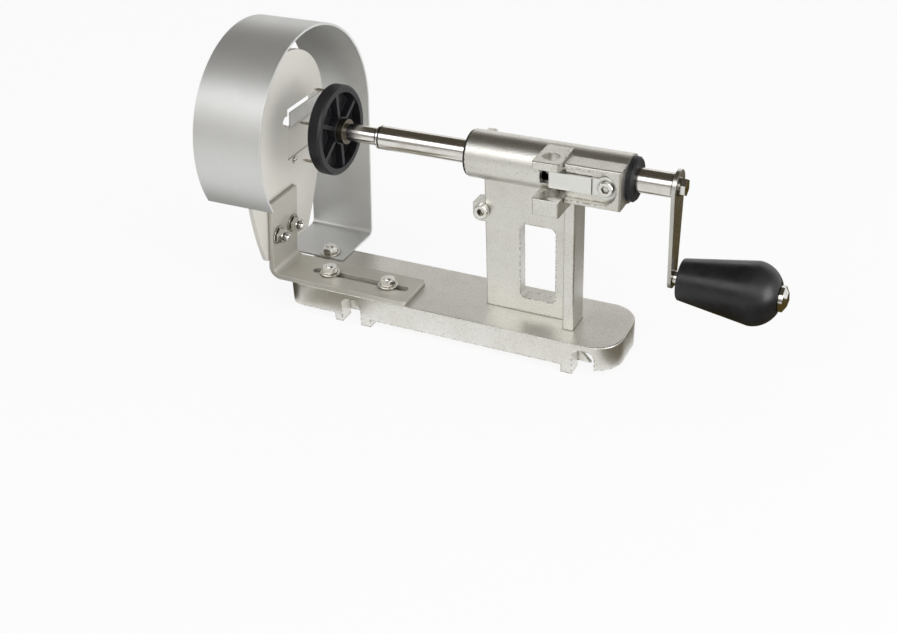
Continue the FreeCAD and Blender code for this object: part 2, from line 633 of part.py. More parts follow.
def bushes():
    """The two black bushes that carry the sliding sleeve."""
    inner = "sleeve_r + run_fit"
    front = [("0", inner), ("bush_front_lip + bush_long", inner),
             ("bush_front_lip + bush_long", "house_bore"), ("bush_front_lip", "house_bore"),
             ("bush_front_lip", "bush_flange_r"), ("0", "bush_flange_r")]
    finish("front_bush", turned("front_bush", front, "house_left - bush_front_lip", "0", "shaft_z"))
    rear = [("0", inner), ("bush_rear_lip + bush_long", inner),
            ("bush_rear_lip + bush_long", "bush_rear_r - bush_bevel"),
            ("bush_rear_lip + bush_long - bush_bevel", "bush_rear_r"),
            ("bush_long", "bush_rear_r"), ("bush_long", "house_bore"), ("0", "house_bore")]
    finish("rear_bush", turned("rear_bush", rear, "house_right - bush_long", "0", "shaft_z"))


def side_bar():
    """Flat bar in the side opening, with its round tail held by a cap screw."""
    thick = box("bar_thick", "bar_step - bar_left", "pocket_floor - bar_near", "2 * bar_half",
                "bar_left", "bar_near", "shaft_z - bar_half")
    tongue = box("bar_tongue", "house_right - bush_long - face_gap - bar_left",
                 "bar_inner - pocket_floor", "2 * bar_half", "bar_left", "pocket_floor",
                 "shaft_z - bar_half")
    tail = box("bar_tail", "bar_screw_x - bar_step", "pocket_floor - bar_tail_near", "2 * bar_half",
               "bar_step", "bar_tail_near", "shaft_z - bar_half")
    eye = rod("bar_eye", "bar_tail_r", "pocket_floor - bar_tail_near",
              "bar_screw_x", "bar_tail_near", "shaft_z", "+Y")
    whole = join("bar_whole", thick, tongue, tail, eye)
    hole = rod("bar_eye_hole", "bolt_five + hole_fit", "pocket_floor - bar_tail_near + 2 * past",
               "bar_screw_x", "bar_tail_near - past", "shaft_z", "+Y")
    finish("side_bar", cut("bar_finished", whole, hole))


def cap_screw(node, head_r, head, shank_r, shank, x, y, z, along):
    """Cap screw with a hexagon socket; its head starts at the point and its shank runs on."""
    body = [("0", "0"), ("(%s) + (%s)" % (head, shank), "0"),
            ("(%s) + (%s)" % (head, shank), shank_r), (head, shank_r), (head, head_r),
            ("head_bevel", head_r), ("0", "(%s) - head_bevel" % head_r)]
    blank = turned(node + "_blank", body, x, y, z, along)
    socket = hexagon(node + "_socket", "socket_half * (%s) / cap_head_r" % head_r,
                     "socket_share * (%s)" % head, x, y, z, along)
    finish(node, cut(node + "_cut", blank, socket))


def hex_bolt(node, half_flats, shank_r, grip, x, y, z, along, shifted=True):
    """Hexagon headed bolt; the seat of the head is at the point and the shank runs from it."""
    head = hexagon(node + "_head", half_flats, "bolt_head", x, y, z, OPPOSITE[along], shifted)
    shank = rod(node + "_shank", shank_r, grip, x, y, z, along, shifted)
    return join(node + "_whole", head, shank)


OPPOSITE = {"+X": "-X", "-X": "+X", "+Y": "-Y", "-Y": "+Y", "+Z": "-Z", "-Z": "+Z"}


def nut(node, half_flats, height, shank_r, x, y, z, along, shifted=True):
    """Hexagon nut with its corners turned off, around a bolt."""
    flats = hexagon(node + "_flats", half_flats, height, x, y, z, along, shifted)
    corner = "(%s) * nut_corner_ratio" % half_flats
    corners = [("0", "0"), (height, "0"), (height, "(%s) * nut_face_ratio" % half_flats),
               ("(%s) - nut_chamfer" % height, corner), ("0", corner)]
    limit = turned(node + "_corners", corners, x, y, z, along, shifted)
    shaped = doc.addObject("Part::Common", node + "_shaped")
    shaped.Base = flats
    shaped.Tool = limit
    hole = rod(node + "_hole", shank_r, "(%s) + 2 * past" % height, *back_off(x, y, z, along),
               along, shifted)
    return cut(node + "_cut", shaped, hole)


def back_off(x, y, z, along):
    """Return the point one millimetre behind the given one, against the axis."""
    step = "- past" if along[0] == "+" else "+ past"
    spot = [x, y, z]
    axis = "XYZ".index(along[1])
    spot[axis] = "(%s) %s" % (spot[axis], step)
    return spot


def fastened(prefix, number, x, y, low, sheet_top):
    """Six millimetre bolt from under the base, with its washer and nut on top."""
    suffix = "_%d" % number if number else ""
    grip = "(%s) - (%s) + washer_thick + nut_low + bolt_stub" % (sheet_top, low)
    finish(prefix + "_bolt" + suffix,
           hex_bolt(prefix + "_bolt" + suffix, "hex_six", "bolt_six", grip, x, y, low, "+Z"))
    finish(prefix + "_washer" + suffix,
           ring(prefix + "_washer" + suffix, "bolt_six + hole_fit", "wide_washer_r", "washer_thick",
                x, y, sheet_top, "+Z"))
    finish(prefix + "_nut" + suffix,
           nut(prefix + "_nut" + suffix, "hex_six", "nut_low", "bolt_six", x, y,
               "(%s) + washer_thick" % sheet_top, "+Z"))


def housing_screws():
    """Screws of the side bar, the clamp lug and the upright's foot."""
    cap_screw("side_bar_screw", "cap_head_r", "bar_head", "bolt_five",
              "pocket_floor - bar_tail_near + bar_screw_bite", "bar_screw_x",
              "bar_tail_near - bar_head", "shaft_z", "+Y")
    cap_screw("lug_screw", "cap_head_r", "cap_head", "bolt_six", "lug_screw_long",
              "lug_x", "web_near - cap_head", "lug_z", "+Y")
    for number, place in enumerate(("foot_screw_left", "foot_screw_right"), start=1):
        node = "foot_screw_%d" % number
        finish(node, hex_bolt(node, "hex_five", "bolt_five", "base_deck + foot_screw_long", place,
                              "web_near + web_thick / 2", "-base_deck", "+Z"))


def slide_unit():
    """Sleeve that slides in the bushes and does not turn."""
    points = [("0", "rod_r + run_fit"), ("sleeve_right - sleeve_left", "rod_r + run_fit"),
              ("sleeve_right - sleeve_left", "sleeve_r - sleeve_bevel"),
              ("sleeve_right - sleeve_left - sleeve_bevel", "sleeve_r"),
              ("sleeve_bevel", "sleeve_r"), ("0", "sleeve_r - sleeve_bevel")]
    finish("slide_sleeve", turned("slide_sleeve", points, "sleeve_left", "0", "shaft_z"))


def spinning_unit():
    """Crank rod, stop ring, collar, potato wheel with its spikes, and the crank arm."""
    shaft = [("0", "skewer_r"), ("skewer_deep", "skewer_r"), ("skewer_deep", "0"),
             ("rod_right - rod_left", "0"), ("rod_right - rod_left", "rod_r"),
             ("sleeve_bevel", "rod_r"), ("0", "rod_r - sleeve_bevel")]
    blank = turned("crank_rod", shaft, "rod_left", "0", "shaft_z")
    thread = rod("rod_thread", "bolt_six", "crank_thread", "rod_right - crank_thread", "0", "shaft_z")
    finish("crank_rod", cut("crank_rod_cut", blank, thread))
    stop = [("0", "rod_r"), ("sleeve_left - stop_left - face_gap", "rod_r"),
            ("sleeve_left - stop_left - face_gap", "sleeve_r"), ("stop_bevel", "sleeve_r"),
            ("0", "sleeve_r - stop_bevel")]
    finish("stop_ring", turned("stop_ring", stop, "stop_left", "0", "shaft_z"))
    finish("wheel_collar", ring("wheel_collar", "rod_r", "collar_r", "collar_right - wheel_front",
                                "wheel_front", "0", "shaft_z"))
    wheel()
    spikes()
    arm()


def wheel():
    """Closed-backed wheel with spokes; the rim has a bevel on both sides."""
    rim = [("0", "rod_r"), ("wheel_front - wheel_back", "rod_r"),
           ("wheel_front - wheel_back", "wheel_hub"), ("wheel_disc", "wheel_hub"),
           ("wheel_disc", "wheel_rim"), ("wheel_front - wheel_back", "wheel_rim + wheel_draft"),
           ("wheel_front - wheel_back", "wheel_r - wheel_bevel"),
           ("wheel_front - wheel_back - wheel_bevel", "wheel_r"), ("wheel_bevel", "wheel_r"),
           ("0", "wheel_r - wheel_bevel")]
    body = turned("wheel_body", rim, "wheel_back", "0", "shaft_z")
    spokes = []
    for number in range(int(size("spoke_count"))):
        spoke = doc.addObject("Part::Box", "spoke_%d" % (number + 1))
        bind(spoke, Length="wheel_front - wheel_back - spoke_sink - wheel_disc + past",
             Width="wheel_rim - wheel_hub + 2 * past", Height="spoke_wide")
        angle = size("spoke_turn") + number * 360 / size("spoke_count")
        spoke.Placement = FreeCAD.Placement(
            FreeCAD.Vector(), FreeCAD.Rotation(FreeCAD.Vector(1, 0, 0), angle))
        across = "(wheel_hub - past) * cos(%g) + spoke_wide / 2 * sin(%g)" % (angle, angle)
        up = "(wheel_hub - past) * sin(%g) - spoke_wide / 2 * cos(%g)" % (angle, angle)
        seat(spoke, "wheel_back + wheel_disc - past", across, "shaft_z + " + up)
        spokes.append(spoke)
    whole = join("wheel_whole", body, *spokes)
    holes = [rod("spike_hole_%d" % number, "spike_r", "spike_sunk + past", "wheel_back - past",
                 *spike_spot(number)) for number in range(int(size("spike_count")))]
    finish("pusher_wheel", cut("wheel_cut", whole, *holes))


def spike_spot(number):
    """Return the place of one spike around the shaft."""
    angle = size("spike_turn") + number * 360 / size("spike_count")
    return "spike_ring * cos(%g)" % angle, "shaft_z + spike_ring * sin(%g)" % angle


def spikes():
    """Six pointed spikes in the back of the wheel."""
    long = "wheel_back - spike_tip + spike_sunk"
    points = [("0", "0"), (long, "0"), (long, "spike_r"), ("spike_taper", "spike_r")]
    for number in range(int(size("spike_count"))):
        node = "wheel_spike_%d" % (number + 1)
        finish(node, turned(node, points, "spike_tip", *spike_spot(number)))


def arm():
    """Tapered crank arm, its bolt and washer, and the fixed axle of the knob."""
    top = FreeCAD.Vector(0, 0, 0)
    low = FreeCAD.Vector(0, 0, -size("arm_drop"))
    lean = math.asin((size("arm_eye_r") - size("arm_foot_r")) / size("arm_drop"))

    def rim(centre, radius, angle):
        return centre + FreeCAD.Vector(0, radius * math.cos(angle), radius * math.sin(angle))

    upper = size("arm_eye_r")
    lower = size("arm_foot_r")
    edges = [
        Part.Arc(rim(top, upper, -lean), rim(top, upper, math.pi / 2),
                 rim(top, upper, math.pi + lean)).toShape(),
        Part.LineSegment(rim(top, upper, math.pi + lean), rim(low, lower, math.pi + lean)).toShape(),
        Part.Arc(rim(low, lower, math.pi + lean), rim(low, lower, -math.pi / 2),
                 rim(low, lower, -lean)).toShape(),
        Part.LineSegment(rim(low, lower, -lean), rim(top, upper, -lean)).toShape(),
    ]
    blank = face_shape(Part.Wire(edges), FreeCAD.Vector(size("arm_thick"), 0, 0))
    past = size("past")
    for centre, radius in ((top, size("bolt_six")), (low, size("axle_r"))):
        hole = Part.makeCylinder(radius, size("arm_thick") + 2 * past,
                                 centre - FreeCAD.Vector(past, 0, 0),
                                 FreeCAD.Vector(1, 0, 0))
        blank = blank.cut(hole)
    plate = set_shape("arm_plate", blank)
    finish("crank_arm", seat(plate, "rod_right", "0", "shaft_z"))
    face = "rod_right + arm_thick"
    finish("crank_washer", ring("crank_washer", "bolt_six", "crank_washer_r", "crank_washer_thick",
                                face, "0", "shaft_z"))
    finish("crank_bolt", hex_bolt("crank_bolt", "hex_six", "bolt_six", "crank_bolt_long",
                                  face + " + crank_washer_thick", "0", "shaft_z", "-X"))
    knob_z = "shaft_z - arm_drop"
    seat_x = "knob_start + knob_long + knob_crown - rod_right + face_gap"
    axle = [("0", "0"), (seat_x + " + cap_high", "0"), (seat_x + " + cap_high - past", "cap_flat_r"),
            (seat_x + " + cap_rim", "cap_r"), (seat_x, "cap_r"), (seat_x, "axle_r"),
            ("0", "axle_r")]
    finish("knob_axle", turned("knob_axle", axle, "rod_right", "0", knob_z))
    finish("knob_spacer", ring("knob_spacer", "axle_r", "spacer_r",
                               "knob_start - rod_right - arm_thick - face_gap", face, "0", knob_z))


def knob():
    """Tapered knob with a domed end, free to spin on its axle."""
    knob_z = "shaft_z - arm_drop"
    taper = doc.addObject("Part::Cone", "knob_taper")
    bind(taper, Radius1="knob_small", Radius2="knob_wide", Height="knob_long")
    turn(taper, *TURNS["+X"])
    seat(taper, "knob_start", "0", knob_z)
    soft = round_edges("knob_soft", taper, "knob_edge",
                       lambda edge: len(edge.Vertexes) == 1
                       and abs(ends(edge)[0].x - size("knob_start")) < 0.01)
    dome = doc.addObject("Part::Ellipsoid", "knob_dome_shape")
    bind(dome, Radius1="knob_dome", Radius2="knob_wide", Radius3="knob_wide")
    dome.Angle1 = 0
    turn(dome, *TURNS["+X"])
    seat(dome, "knob_start + knob_long", "0", knob_z)
    whole = join("knob_whole", soft, dome)
    end = box("knob_trim", "knob_dome", "3 * knob_wide", "3 * knob_wide",
              "knob_start + knob_long + knob_crown", "-1.5 * knob_wide", knob_z + " - 1.5 * knob_wide")
    bore = rod("knob_bore", "axle_r + run_fit", "knob_long + knob_crown + 2 * past",
               "knob_start - past", "0", knob_z)
    finish("knob", cut("knob_cut", whole, end, bore))


def guard():
    """Sheet guard: a round cover, a straight far side and a foot bent in under it."""
    outer = size("guard_r")
    sheet_thick = size("guard_sheet")
    inner = outer - sheet_thick
    centre = FreeCAD.Vector(0, size("guard_y"), size("guard_z"))
    low = math.radians(180 + size("guard_low_angle"))
    lean = math.radians(-size("guard_slope"))

    def on(radius, angle):
        return centre + FreeCAD.Vector(0, radius * math.cos(angle), radius * math.sin(angle))

    down = FreeCAD.Vector(0, math.sin(lean), -math.cos(lean))
    inward = FreeCAD.Vector(0, -math.cos(lean), -math.sin(lean))
    bend = size("guard_bend")
    start = on(outer, lean)
    centre_height = bend + sheet_thick
    reach = (centre_height - (start + inward * centre_height).z) / down.z
    hub = start + inward * centre_height + down * reach
    swing = lean

    def around(radius, angle):
        return hub + FreeCAD.Vector(0, radius * math.cos(angle), radius * math.sin(angle))

    floor = -math.pi / 2
    middle = (swing + floor) / 2
    near = size("guard_foot_near")
    points = {
        "outer": (on(outer, low), on(outer, math.pi / 2), start),
        "inner": (on(inner, low), on(inner, math.pi / 2), on(inner, lean)),
    }
    foot_low = FreeCAD.Vector(0, near, hub.z - bend - sheet_thick)
    foot_high = FreeCAD.Vector(0, near, hub.z - bend)
    edges = [
        Part.Arc(*points["outer"]).toShape(),
        Part.LineSegment(start, around(bend + sheet_thick, swing)).toShape(),
        Part.Arc(around(bend + sheet_thick, swing), around(bend + sheet_thick, middle),
                 around(bend + sheet_thick, floor)).toShape(),
        Part.LineSegment(around(bend + sheet_thick, floor), foot_low).toShape(),
        Part.LineSegment(foot_low, foot_high).toShape(),
        Part.LineSegment(foot_high, around(bend, floor)).toShape(),
        Part.Arc(around(bend, floor), around(bend, middle), around(bend, swing)).toShape(),
        Part.LineSegment(around(bend, swing), on(inner, lean)).toShape(),
        Part.Arc(on(inner, lean), on(inner, math.pi / 2), on(inner, low)).toShape(),
        Part.LineSegment(on(inner, low), on(outer, low)).toShape(),
    ]
    wide = size("guard_right") - size("guard_left")
    band = face_shape(Part.Wire(edges), FreeCAD.Vector(wide, 0, 0))
    hole = Part.makeCylinder(
        size("bolt_six") + size("hole_fit"), sheet_thick + 2 * size("past"),
        FreeCAD.Vector(size("guard_bolt_x") - size("guard_left"), size("guard_bolt_y"),
                       -size("past")))
    cover = set_shape("guard_sheet_shape", band.cut(hole))
    finish("guard_band", seat(cover, "guard_left", "0", "0"))


def place_head(item):
    """Lean a piece of the cutter plate's group and move it to the shaft's line."""
    item.Placement = FreeCAD.Placement(
        FreeCAD.Vector(), FreeCAD.Rotation(FreeCAD.Vector(0, 1, 0), size("lean")))
    return seat(item, "head_x", "0", "shaft_z")


def lean_to_head(item, ahead, across, along):
    """Seat a piece at a place that is given in the leaning plate's own frame."""
    item.Placement = FreeCAD.Placement(
        FreeCAD.Vector(), FreeCAD.Rotation(FreeCAD.Vector(0, 1, 0), size("lean")))
    x = "head_x + (%s) * cos(lean) + (%s) * sin(lean)" % (ahead, along)
    z = "shaft_z - (%s) * sin(lean) + (%s) * cos(lean)" % (ahead, along)
    return seat(item, x, across, z)


def cutter_plate():
    """Round-headed plate with its window, its slit, its core hole and its ramp."""
    head = size("plate_r")
    middle = size("plate_y")
    side = size("plate_side_r")
    low = -size("plate_low")
    thick = size("plate_thick")
    drop = side - math.sqrt(side ** 2 - low ** 2)
    corner = size("plate_corner")
    past = size("past")

    def spot(across, up):
        return FreeCAD.Vector(-thick, middle + across, up)

    def side_spot(up, mirror):
        return spot(mirror * (head - side + math.sqrt(side ** 2 - up ** 2)), up)

    edges = [
        Part.Arc(spot(head, 0), spot(0, head), spot(-head, 0)).toShape(),
        Part.Arc(spot(-head, 0), side_spot(low / 2, -1), side_spot(low, -1)).toShape(),
        Part.LineSegment(side_spot(low, -1), side_spot(low, 1)).toShape(),
        Part.Arc(side_spot(low, 1), side_spot(low / 2, 1), spot(head, 0)).toShape(),
    ]
    blank = face_shape(Part.Wire(edges), FreeCAD.Vector(thick, 0, 0))
    corners = [edge for edge in blank.Edges
               if len(edge.Vertexes) == 2
               and all(abs(vertex.Z - low) < 0.01 for vertex in edge.Vertexes)
               and abs(edge.Vertexes[0].X - edge.Vertexes[1].X) > thick / 2
               and abs(abs(edge.Vertexes[0].Y - middle) - (head - drop)) < 0.01]
    blank = blank.makeFillet(corner, corners)
    ramp_top = size("ramp_top")
    ramp_foot = size("cut_low")
    deep = size("ramp_deep")
    ramp_thick = size("ramp_thick")
    window = Part.makeBox(thick + 2 * past, size("cut_far") - size("cut_near"),
                          size("cut_high") - ramp_foot,
                          FreeCAD.Vector(-thick - past, size("cut_near"), ramp_foot))
    core = Part.makeCylinder(size("core_r"), thick + 2 * past,
                             FreeCAD.Vector(-thick - past, size("core_y"), size("core_v")),
                             FreeCAD.Vector(1, 0, 0))
    blank = blank.cut(window).cut(core)
    back = size("ramp_set")
    slope = [FreeCAD.Vector(-back, 0, ramp_foot - size("ramp_root")),
             FreeCAD.Vector(-back, 0, ramp_foot),
             FreeCAD.Vector(-deep, 0, ramp_top), FreeCAD.Vector(-deep - ramp_thick, 0, ramp_top),
             FreeCAD.Vector(-back - ramp_thick, 0, ramp_foot - size("ramp_root"))]
    ramp = face_shape(Part.makePolygon(slope + slope[:1]),
                      FreeCAD.Vector(0, size("cut_far") - size("cut_near") - 2 * size("ramp_side"), 0))
    ramp.translate(FreeCAD.Vector(0, size("cut_near") + size("ramp_side"), 0))
    blank = blank.fuse(ramp).removeSplitter()
    bolt = size("bolt_six") + size("hole_fit")
    small = size("small_screw_r")
    holes = [(size("head_bolt_y") + sign * size("head_bolt_half"), size("head_bolt_v"), bolt)
             for sign in (-1, 1)]
    holes.append((size("blade_screw_y"), size("blade_screw_v"), small))
    holes.append((size("ramp_screw_y"), size("ramp_screw_v"), small))
    holes.append((size("ramp_screw_y") + size("ramp_screw_gap"), size("ramp_screw_v"), small))
    for across, up, radius in holes:
        blank = blank.cut(Part.makeCylinder(radius, thick + 2 * past,
                                            FreeCAD.Vector(-thick - past, across, up),
                                            FreeCAD.Vector(1, 0, 0)))
    finish("cutter_plate", place_head(set_shape("cutter_plate_shape", blank)))


def blade_set():
    """Blade with its ground edge, and the small screws on the plate."""
    thick = size("blade_thick")
    low = size("blade_low")
    high = size("blade_high")
    section = [FreeCAD.Vector(0, 0, low), FreeCAD.Vector(thick, 0, low + size("blade_grind")),
               FreeCAD.Vector(thick, 0, high), FreeCAD.Vector(0, 0, high)]
    blade = face_shape(Part.makePolygon(section + section[:1]),
                       FreeCAD.Vector(0, size("blade_far") - size("blade_near"), 0))
    blade.translate(FreeCAD.Vector(0, size("blade_near"), 0))
    blade = blade.cut(Part.makeCylinder(
        size("small_screw_r"), thick + 2 * size("past"),
        FreeCAD.Vector(-size("past"), size("blade_screw_y"), size("blade_screw_v")),
        FreeCAD.Vector(1, 0, 0)))
    finish("blade", place_head(set_shape("blade_shape", blade)))
    rows = (("blade_screw", "blade_screw_y", "blade_screw_v", thick),
            ("ramp_screw_1", "ramp_screw_y", "ramp_screw_v", 0))
    for node, across, up, base in rows:
        finish(node, place_head(small_screw(node, size(across), size(up), base)))
    finish("ramp_screw_2", place_head(small_screw(
        "ramp_screw_2", size("ramp_screw_y") + size("ramp_screw_gap"), size("ramp_screw_v"), 0)))


def small_screw(node, across, up, base):
    """Round-headed small screw through the plate, with a slot in its head."""
    axis = FreeCAD.Vector(1, 0, 0)
    depth = size("plate_thick") + base
    shank = Part.makeCylinder(size("small_screw_r"), depth,
                              FreeCAD.Vector(base - depth, across, up), axis)
    head = Part.makeCylinder(size("small_head_r"), size("small_head"),
                             FreeCAD.Vector(base, across, up), axis)
    head = head.makeFillet(size("small_head_round"),
                           [edge for edge in head.Edges if len(edge.Vertexes) == 1
                            and edge.Vertexes[0].X > base + size("small_head") / 2])
    slot = Part.makeBox(size("small_head"), 2 * (size("small_head_r") + size("past")),
                        size("small_head") / 2,
                        FreeCAD.Vector(base + size("small_head") / 2,
                                       across - size("small_head_r") - size("past"),
                                       up - size("small_head") / 4))
    return set_shape(node + "_shape", head.fuse(shank).cut(slot).removeSplitter())


def bracket():
    """Angle bracket: a slotted foot on the base, a bend and a leaning upright."""
    thick = size("bracket_thick")
    inner = size("bracket_bend")
    outer = inner + thick
    lean = math.radians(size("lean"))
    front = FreeCAD.Vector(math.cos(lean), 0, -math.sin(lean))
    up = FreeCAD.Vector(math.sin(lean), 0, math.cos(lean))
    origin = FreeCAD.Vector(size("head_x"), 0, size("shaft_z"))
    centre_height = outer
    along = ((centre_height - origin.z) - front.z * outer) / up.z
    hub = origin + front * outer + up * along
    width = FreeCAD.Vector(0, size("bracket_far") - size("bracket_near"), 0)
    back_low = hub - front * outer
    front_low = hub - front * inner
    rise = up * (size("bracket_high") - along)
    mid_angle = (math.radians(270) + math.radians(180) - lean) / 2
    mid = FreeCAD.Vector(math.cos(mid_angle), 0, math.sin(mid_angle))
    below = FreeCAD.Vector(0, 0, -1)
    right = size("bracket_right")
    edges = [
        Part.LineSegment(back_low + rise, back_low).toShape(),
        Part.Arc(back_low, hub + mid * outer, hub + below * outer).toShape(),
        Part.LineSegment(hub + below * outer, FreeCAD.Vector(right, 0, 0)).toShape(),
        Part.LineSegment(FreeCAD.Vector(right, 0, 0), FreeCAD.Vector(right, 0, thick)).toShape(),
        Part.LineSegment(FreeCAD.Vector(right, 0, thick), hub + below * inner).toShape(),
        Part.Arc(hub + below * inner, hub + mid * inner, front_low).toShape(),
        Part.LineSegment(front_low, front_low + rise).toShape(),
        Part.LineSegment(front_low + rise, back_low + rise).toShape(),
    ]
    plate = face_shape(Part.Wire(edges), width)
    plate = plate.makeFillet(size("bracket_corner"), [
        edge for edge in plate.Edges if len(edge.Vertexes) == 2
        and all(abs(vertex.X - right) < 0.01 for vertex in edge.Vertexes)
        and abs(edge.Vertexes[0].Z - edge.Vertexes[1].Z) > thick / 2])
    half = size("slot_half")
    middle = size("slot_y") - size("bracket_near")
    left = size("slot_left") + half
    end = size("slot_right") - half
    past = size("past")
    deep = thick + 2 * past
    slot = Part.makeBox(end - left, 2 * half, deep, FreeCAD.Vector(left, middle - half, -past))
    for centre in (left, end):
        slot = slot.fuse(Part.makeCylinder(half, deep, FreeCAD.Vector(centre, middle, -past)))
    plate = plate.cut(slot)
    for sign in (-1, 1):
        across = size("head_bolt_y") + sign * size("head_bolt_half") - size("bracket_near")
        spot = origin + up * size("head_bolt_v") + FreeCAD.Vector(0, across, 0) - front * past
        plate = plate.cut(Part.makeCylinder(size("bolt_six") + size("hole_fit"), deep, spot, front))
    finish("angle_bracket", seat(set_shape("bracket_shape", plate.removeSplitter()),
                                 "0", "bracket_near", "0"))


def head_bolts():
    """Two bolts through plate and bracket, with their washers and nuts in front."""
    for number, sign in enumerate(("-", "+"), start=1):
        y = "head_bolt_y %s head_bolt_half" % sign
        v = "head_bolt_v"
        grip = "plate_thick + bracket_thick + washer_thick + nut_six + head_bolt_stub"
        node = "head_bolt_%d" % number
        finish(node, place_head(hex_bolt(node, "hex_six", "bolt_six", grip, "-plate_thick", y, v,
                                         "+X", False)))
        node = "head_washer_%d" % number
        finish(node, lean_to_head(ring(node, "bolt_six + hole_fit", "washer_r", "washer_thick",
                                       "0", "0", "0", "+X", False), "bracket_thick", y, v))
        node = "head_nut_%d" % number
        finish(node, place_head(nut(node, "hex_six", "nut_six", "bolt_six",
                                    "bracket_thick + washer_thick", y, v, "+X", False)))


def write_pieces():
    """Check every object, then write each finished piece to its own file."""
    doc.recompute()
    for item in doc.Objects:
        if "Invalid" in item.State or "Error" in item.State:
            raise RuntimeError("%s did not rebuild: %s" % (item.Name, item.State))
    os.makedirs("parts", exist_ok=True)
    for item in FINISHED:
        shape = item.Shape
        if shape.isNull() or not shape.isValid():
            raise RuntimeError("%s has no sound shape" % item.Label)
        if len(shape.Solids) != 1:
            raise RuntimeError("%s is %d solids" % (item.Label, len(shape.Solids)))
        shape.exportStep("parts/%s.step" % item.Label)


base_casting()
headstock_casting()
bushes()
side_bar()
housing_screws()
slide_unit()
spinning_unit()
knob()
guard()
fastened("guard", 0, "guard_bolt_x", "guard_bolt_y", "-base_deck", "guard_sheet")
bracket()
fastened("slot", 1, "slot_bolt_first", "slot_y", "-base_deck", "bracket_thick")
fastened("slot", 2, "slot_bolt_second", "slot_y", "-base_deck", "bracket_thick")
cutter_plate()
blade_set()
head_bolts()
write_pieces()
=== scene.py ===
"""Looks for a hand cranked spiral potato cutter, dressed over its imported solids.

Lengths of pieces and the camera's place are millimetres. Pieces are placed in the bench frame: X
along the shaft from the blade to the crank, Y from the operator's side to the far side, Z up from
the top face of the base. Lamps, cards and the floor are given in the scene's metres.
"""
from __future__ import annotations

import json
import logging
import math
from dataclasses import dataclass
from enum import Enum
from typing import Sequence

import bmesh
import bpy
from mathutils import Matrix, Vector

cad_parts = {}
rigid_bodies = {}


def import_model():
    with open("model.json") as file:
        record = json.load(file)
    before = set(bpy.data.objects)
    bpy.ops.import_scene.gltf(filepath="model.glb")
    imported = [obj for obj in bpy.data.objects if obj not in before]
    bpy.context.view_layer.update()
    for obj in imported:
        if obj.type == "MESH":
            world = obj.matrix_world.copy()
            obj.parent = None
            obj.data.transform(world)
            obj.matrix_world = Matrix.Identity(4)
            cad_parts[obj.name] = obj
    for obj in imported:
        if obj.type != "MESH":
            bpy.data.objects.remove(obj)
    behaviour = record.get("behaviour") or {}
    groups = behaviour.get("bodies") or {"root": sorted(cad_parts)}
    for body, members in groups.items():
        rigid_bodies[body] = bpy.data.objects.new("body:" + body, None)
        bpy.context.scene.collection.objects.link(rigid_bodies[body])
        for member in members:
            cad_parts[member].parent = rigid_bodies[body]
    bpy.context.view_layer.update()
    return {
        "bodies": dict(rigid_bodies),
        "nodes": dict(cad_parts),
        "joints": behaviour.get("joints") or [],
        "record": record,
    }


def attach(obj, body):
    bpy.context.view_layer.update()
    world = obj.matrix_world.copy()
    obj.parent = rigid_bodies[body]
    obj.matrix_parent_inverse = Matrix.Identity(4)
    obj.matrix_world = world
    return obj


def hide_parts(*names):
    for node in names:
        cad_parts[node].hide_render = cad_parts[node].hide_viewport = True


LOG = logging.getLogger("potato_cutter")
MILLI = 0.001
WELD = 1e-6
AXIS_WELD = 1e-7
WALL_TILT = 0.5

# Millimetres in the bench frame: the frame's place in the scene, the shaft's height, the base's
# deck, and what lies over a clamped sheet.
SHIFT = Vector((-14.6, 1.0, 24.0))
SHAFT_UP = 115.1
DECK = 5.0
WASHER = 1.2
NUT = 4.4
BOLT_PAST = 1.0

Pair = tuple[float, float]
Triple = tuple[float, float, float]
Colour = Triple
Socket = bpy.types.NodeSocket

WHITE: Colour = (1.0, 1.0, 1.0)


def bench(x: float, y: float, z: float) -> Vector:
    """Turn a bench point in millimetres into the scene's metres."""
    return (Vector((x, y, z)) + SHIFT) * MILLI


def covering(colour: Colour) -> tuple[float, ...]:
    """Return a colour with full cover, as a node's input takes it."""
    return (*colour, 1.0)


class Axis(Enum):
    """Directions that a turned piece may run in."""

    ALONG = "+X"
    UP = "+Z"

    def turn(self) -> Matrix:
        """Return the turn that takes +X to this direction."""
        if self is Axis.UP:
            return Matrix.Rotation(-math.pi / 2, 4, "Y")
        return Matrix.Identity(4)


class Body(Enum):
    """The bodies that new pieces ride on."""

    BENCH = "bench"
    HEAD = "cutter_head"


@dataclass(frozen=True)
class Noise:
    """One layer of noise: cycles in a metre, octaves, and the strength of the finer ones."""

    scale: float
    detail: float = 3.0
    rough: float = 0.55


@dataclass(frozen=True)
class Fade:
    """How a value turns into a mask: where it starts, where it is full, and its full share."""

    start: float
    full: float
    share: float = 1.0


@dataclass(frozen=True)
class Relief:
    """How a height raises the surface: depth and edge rounding in millimetres, and a share."""

    depth: float
    share: float
    rounding: float


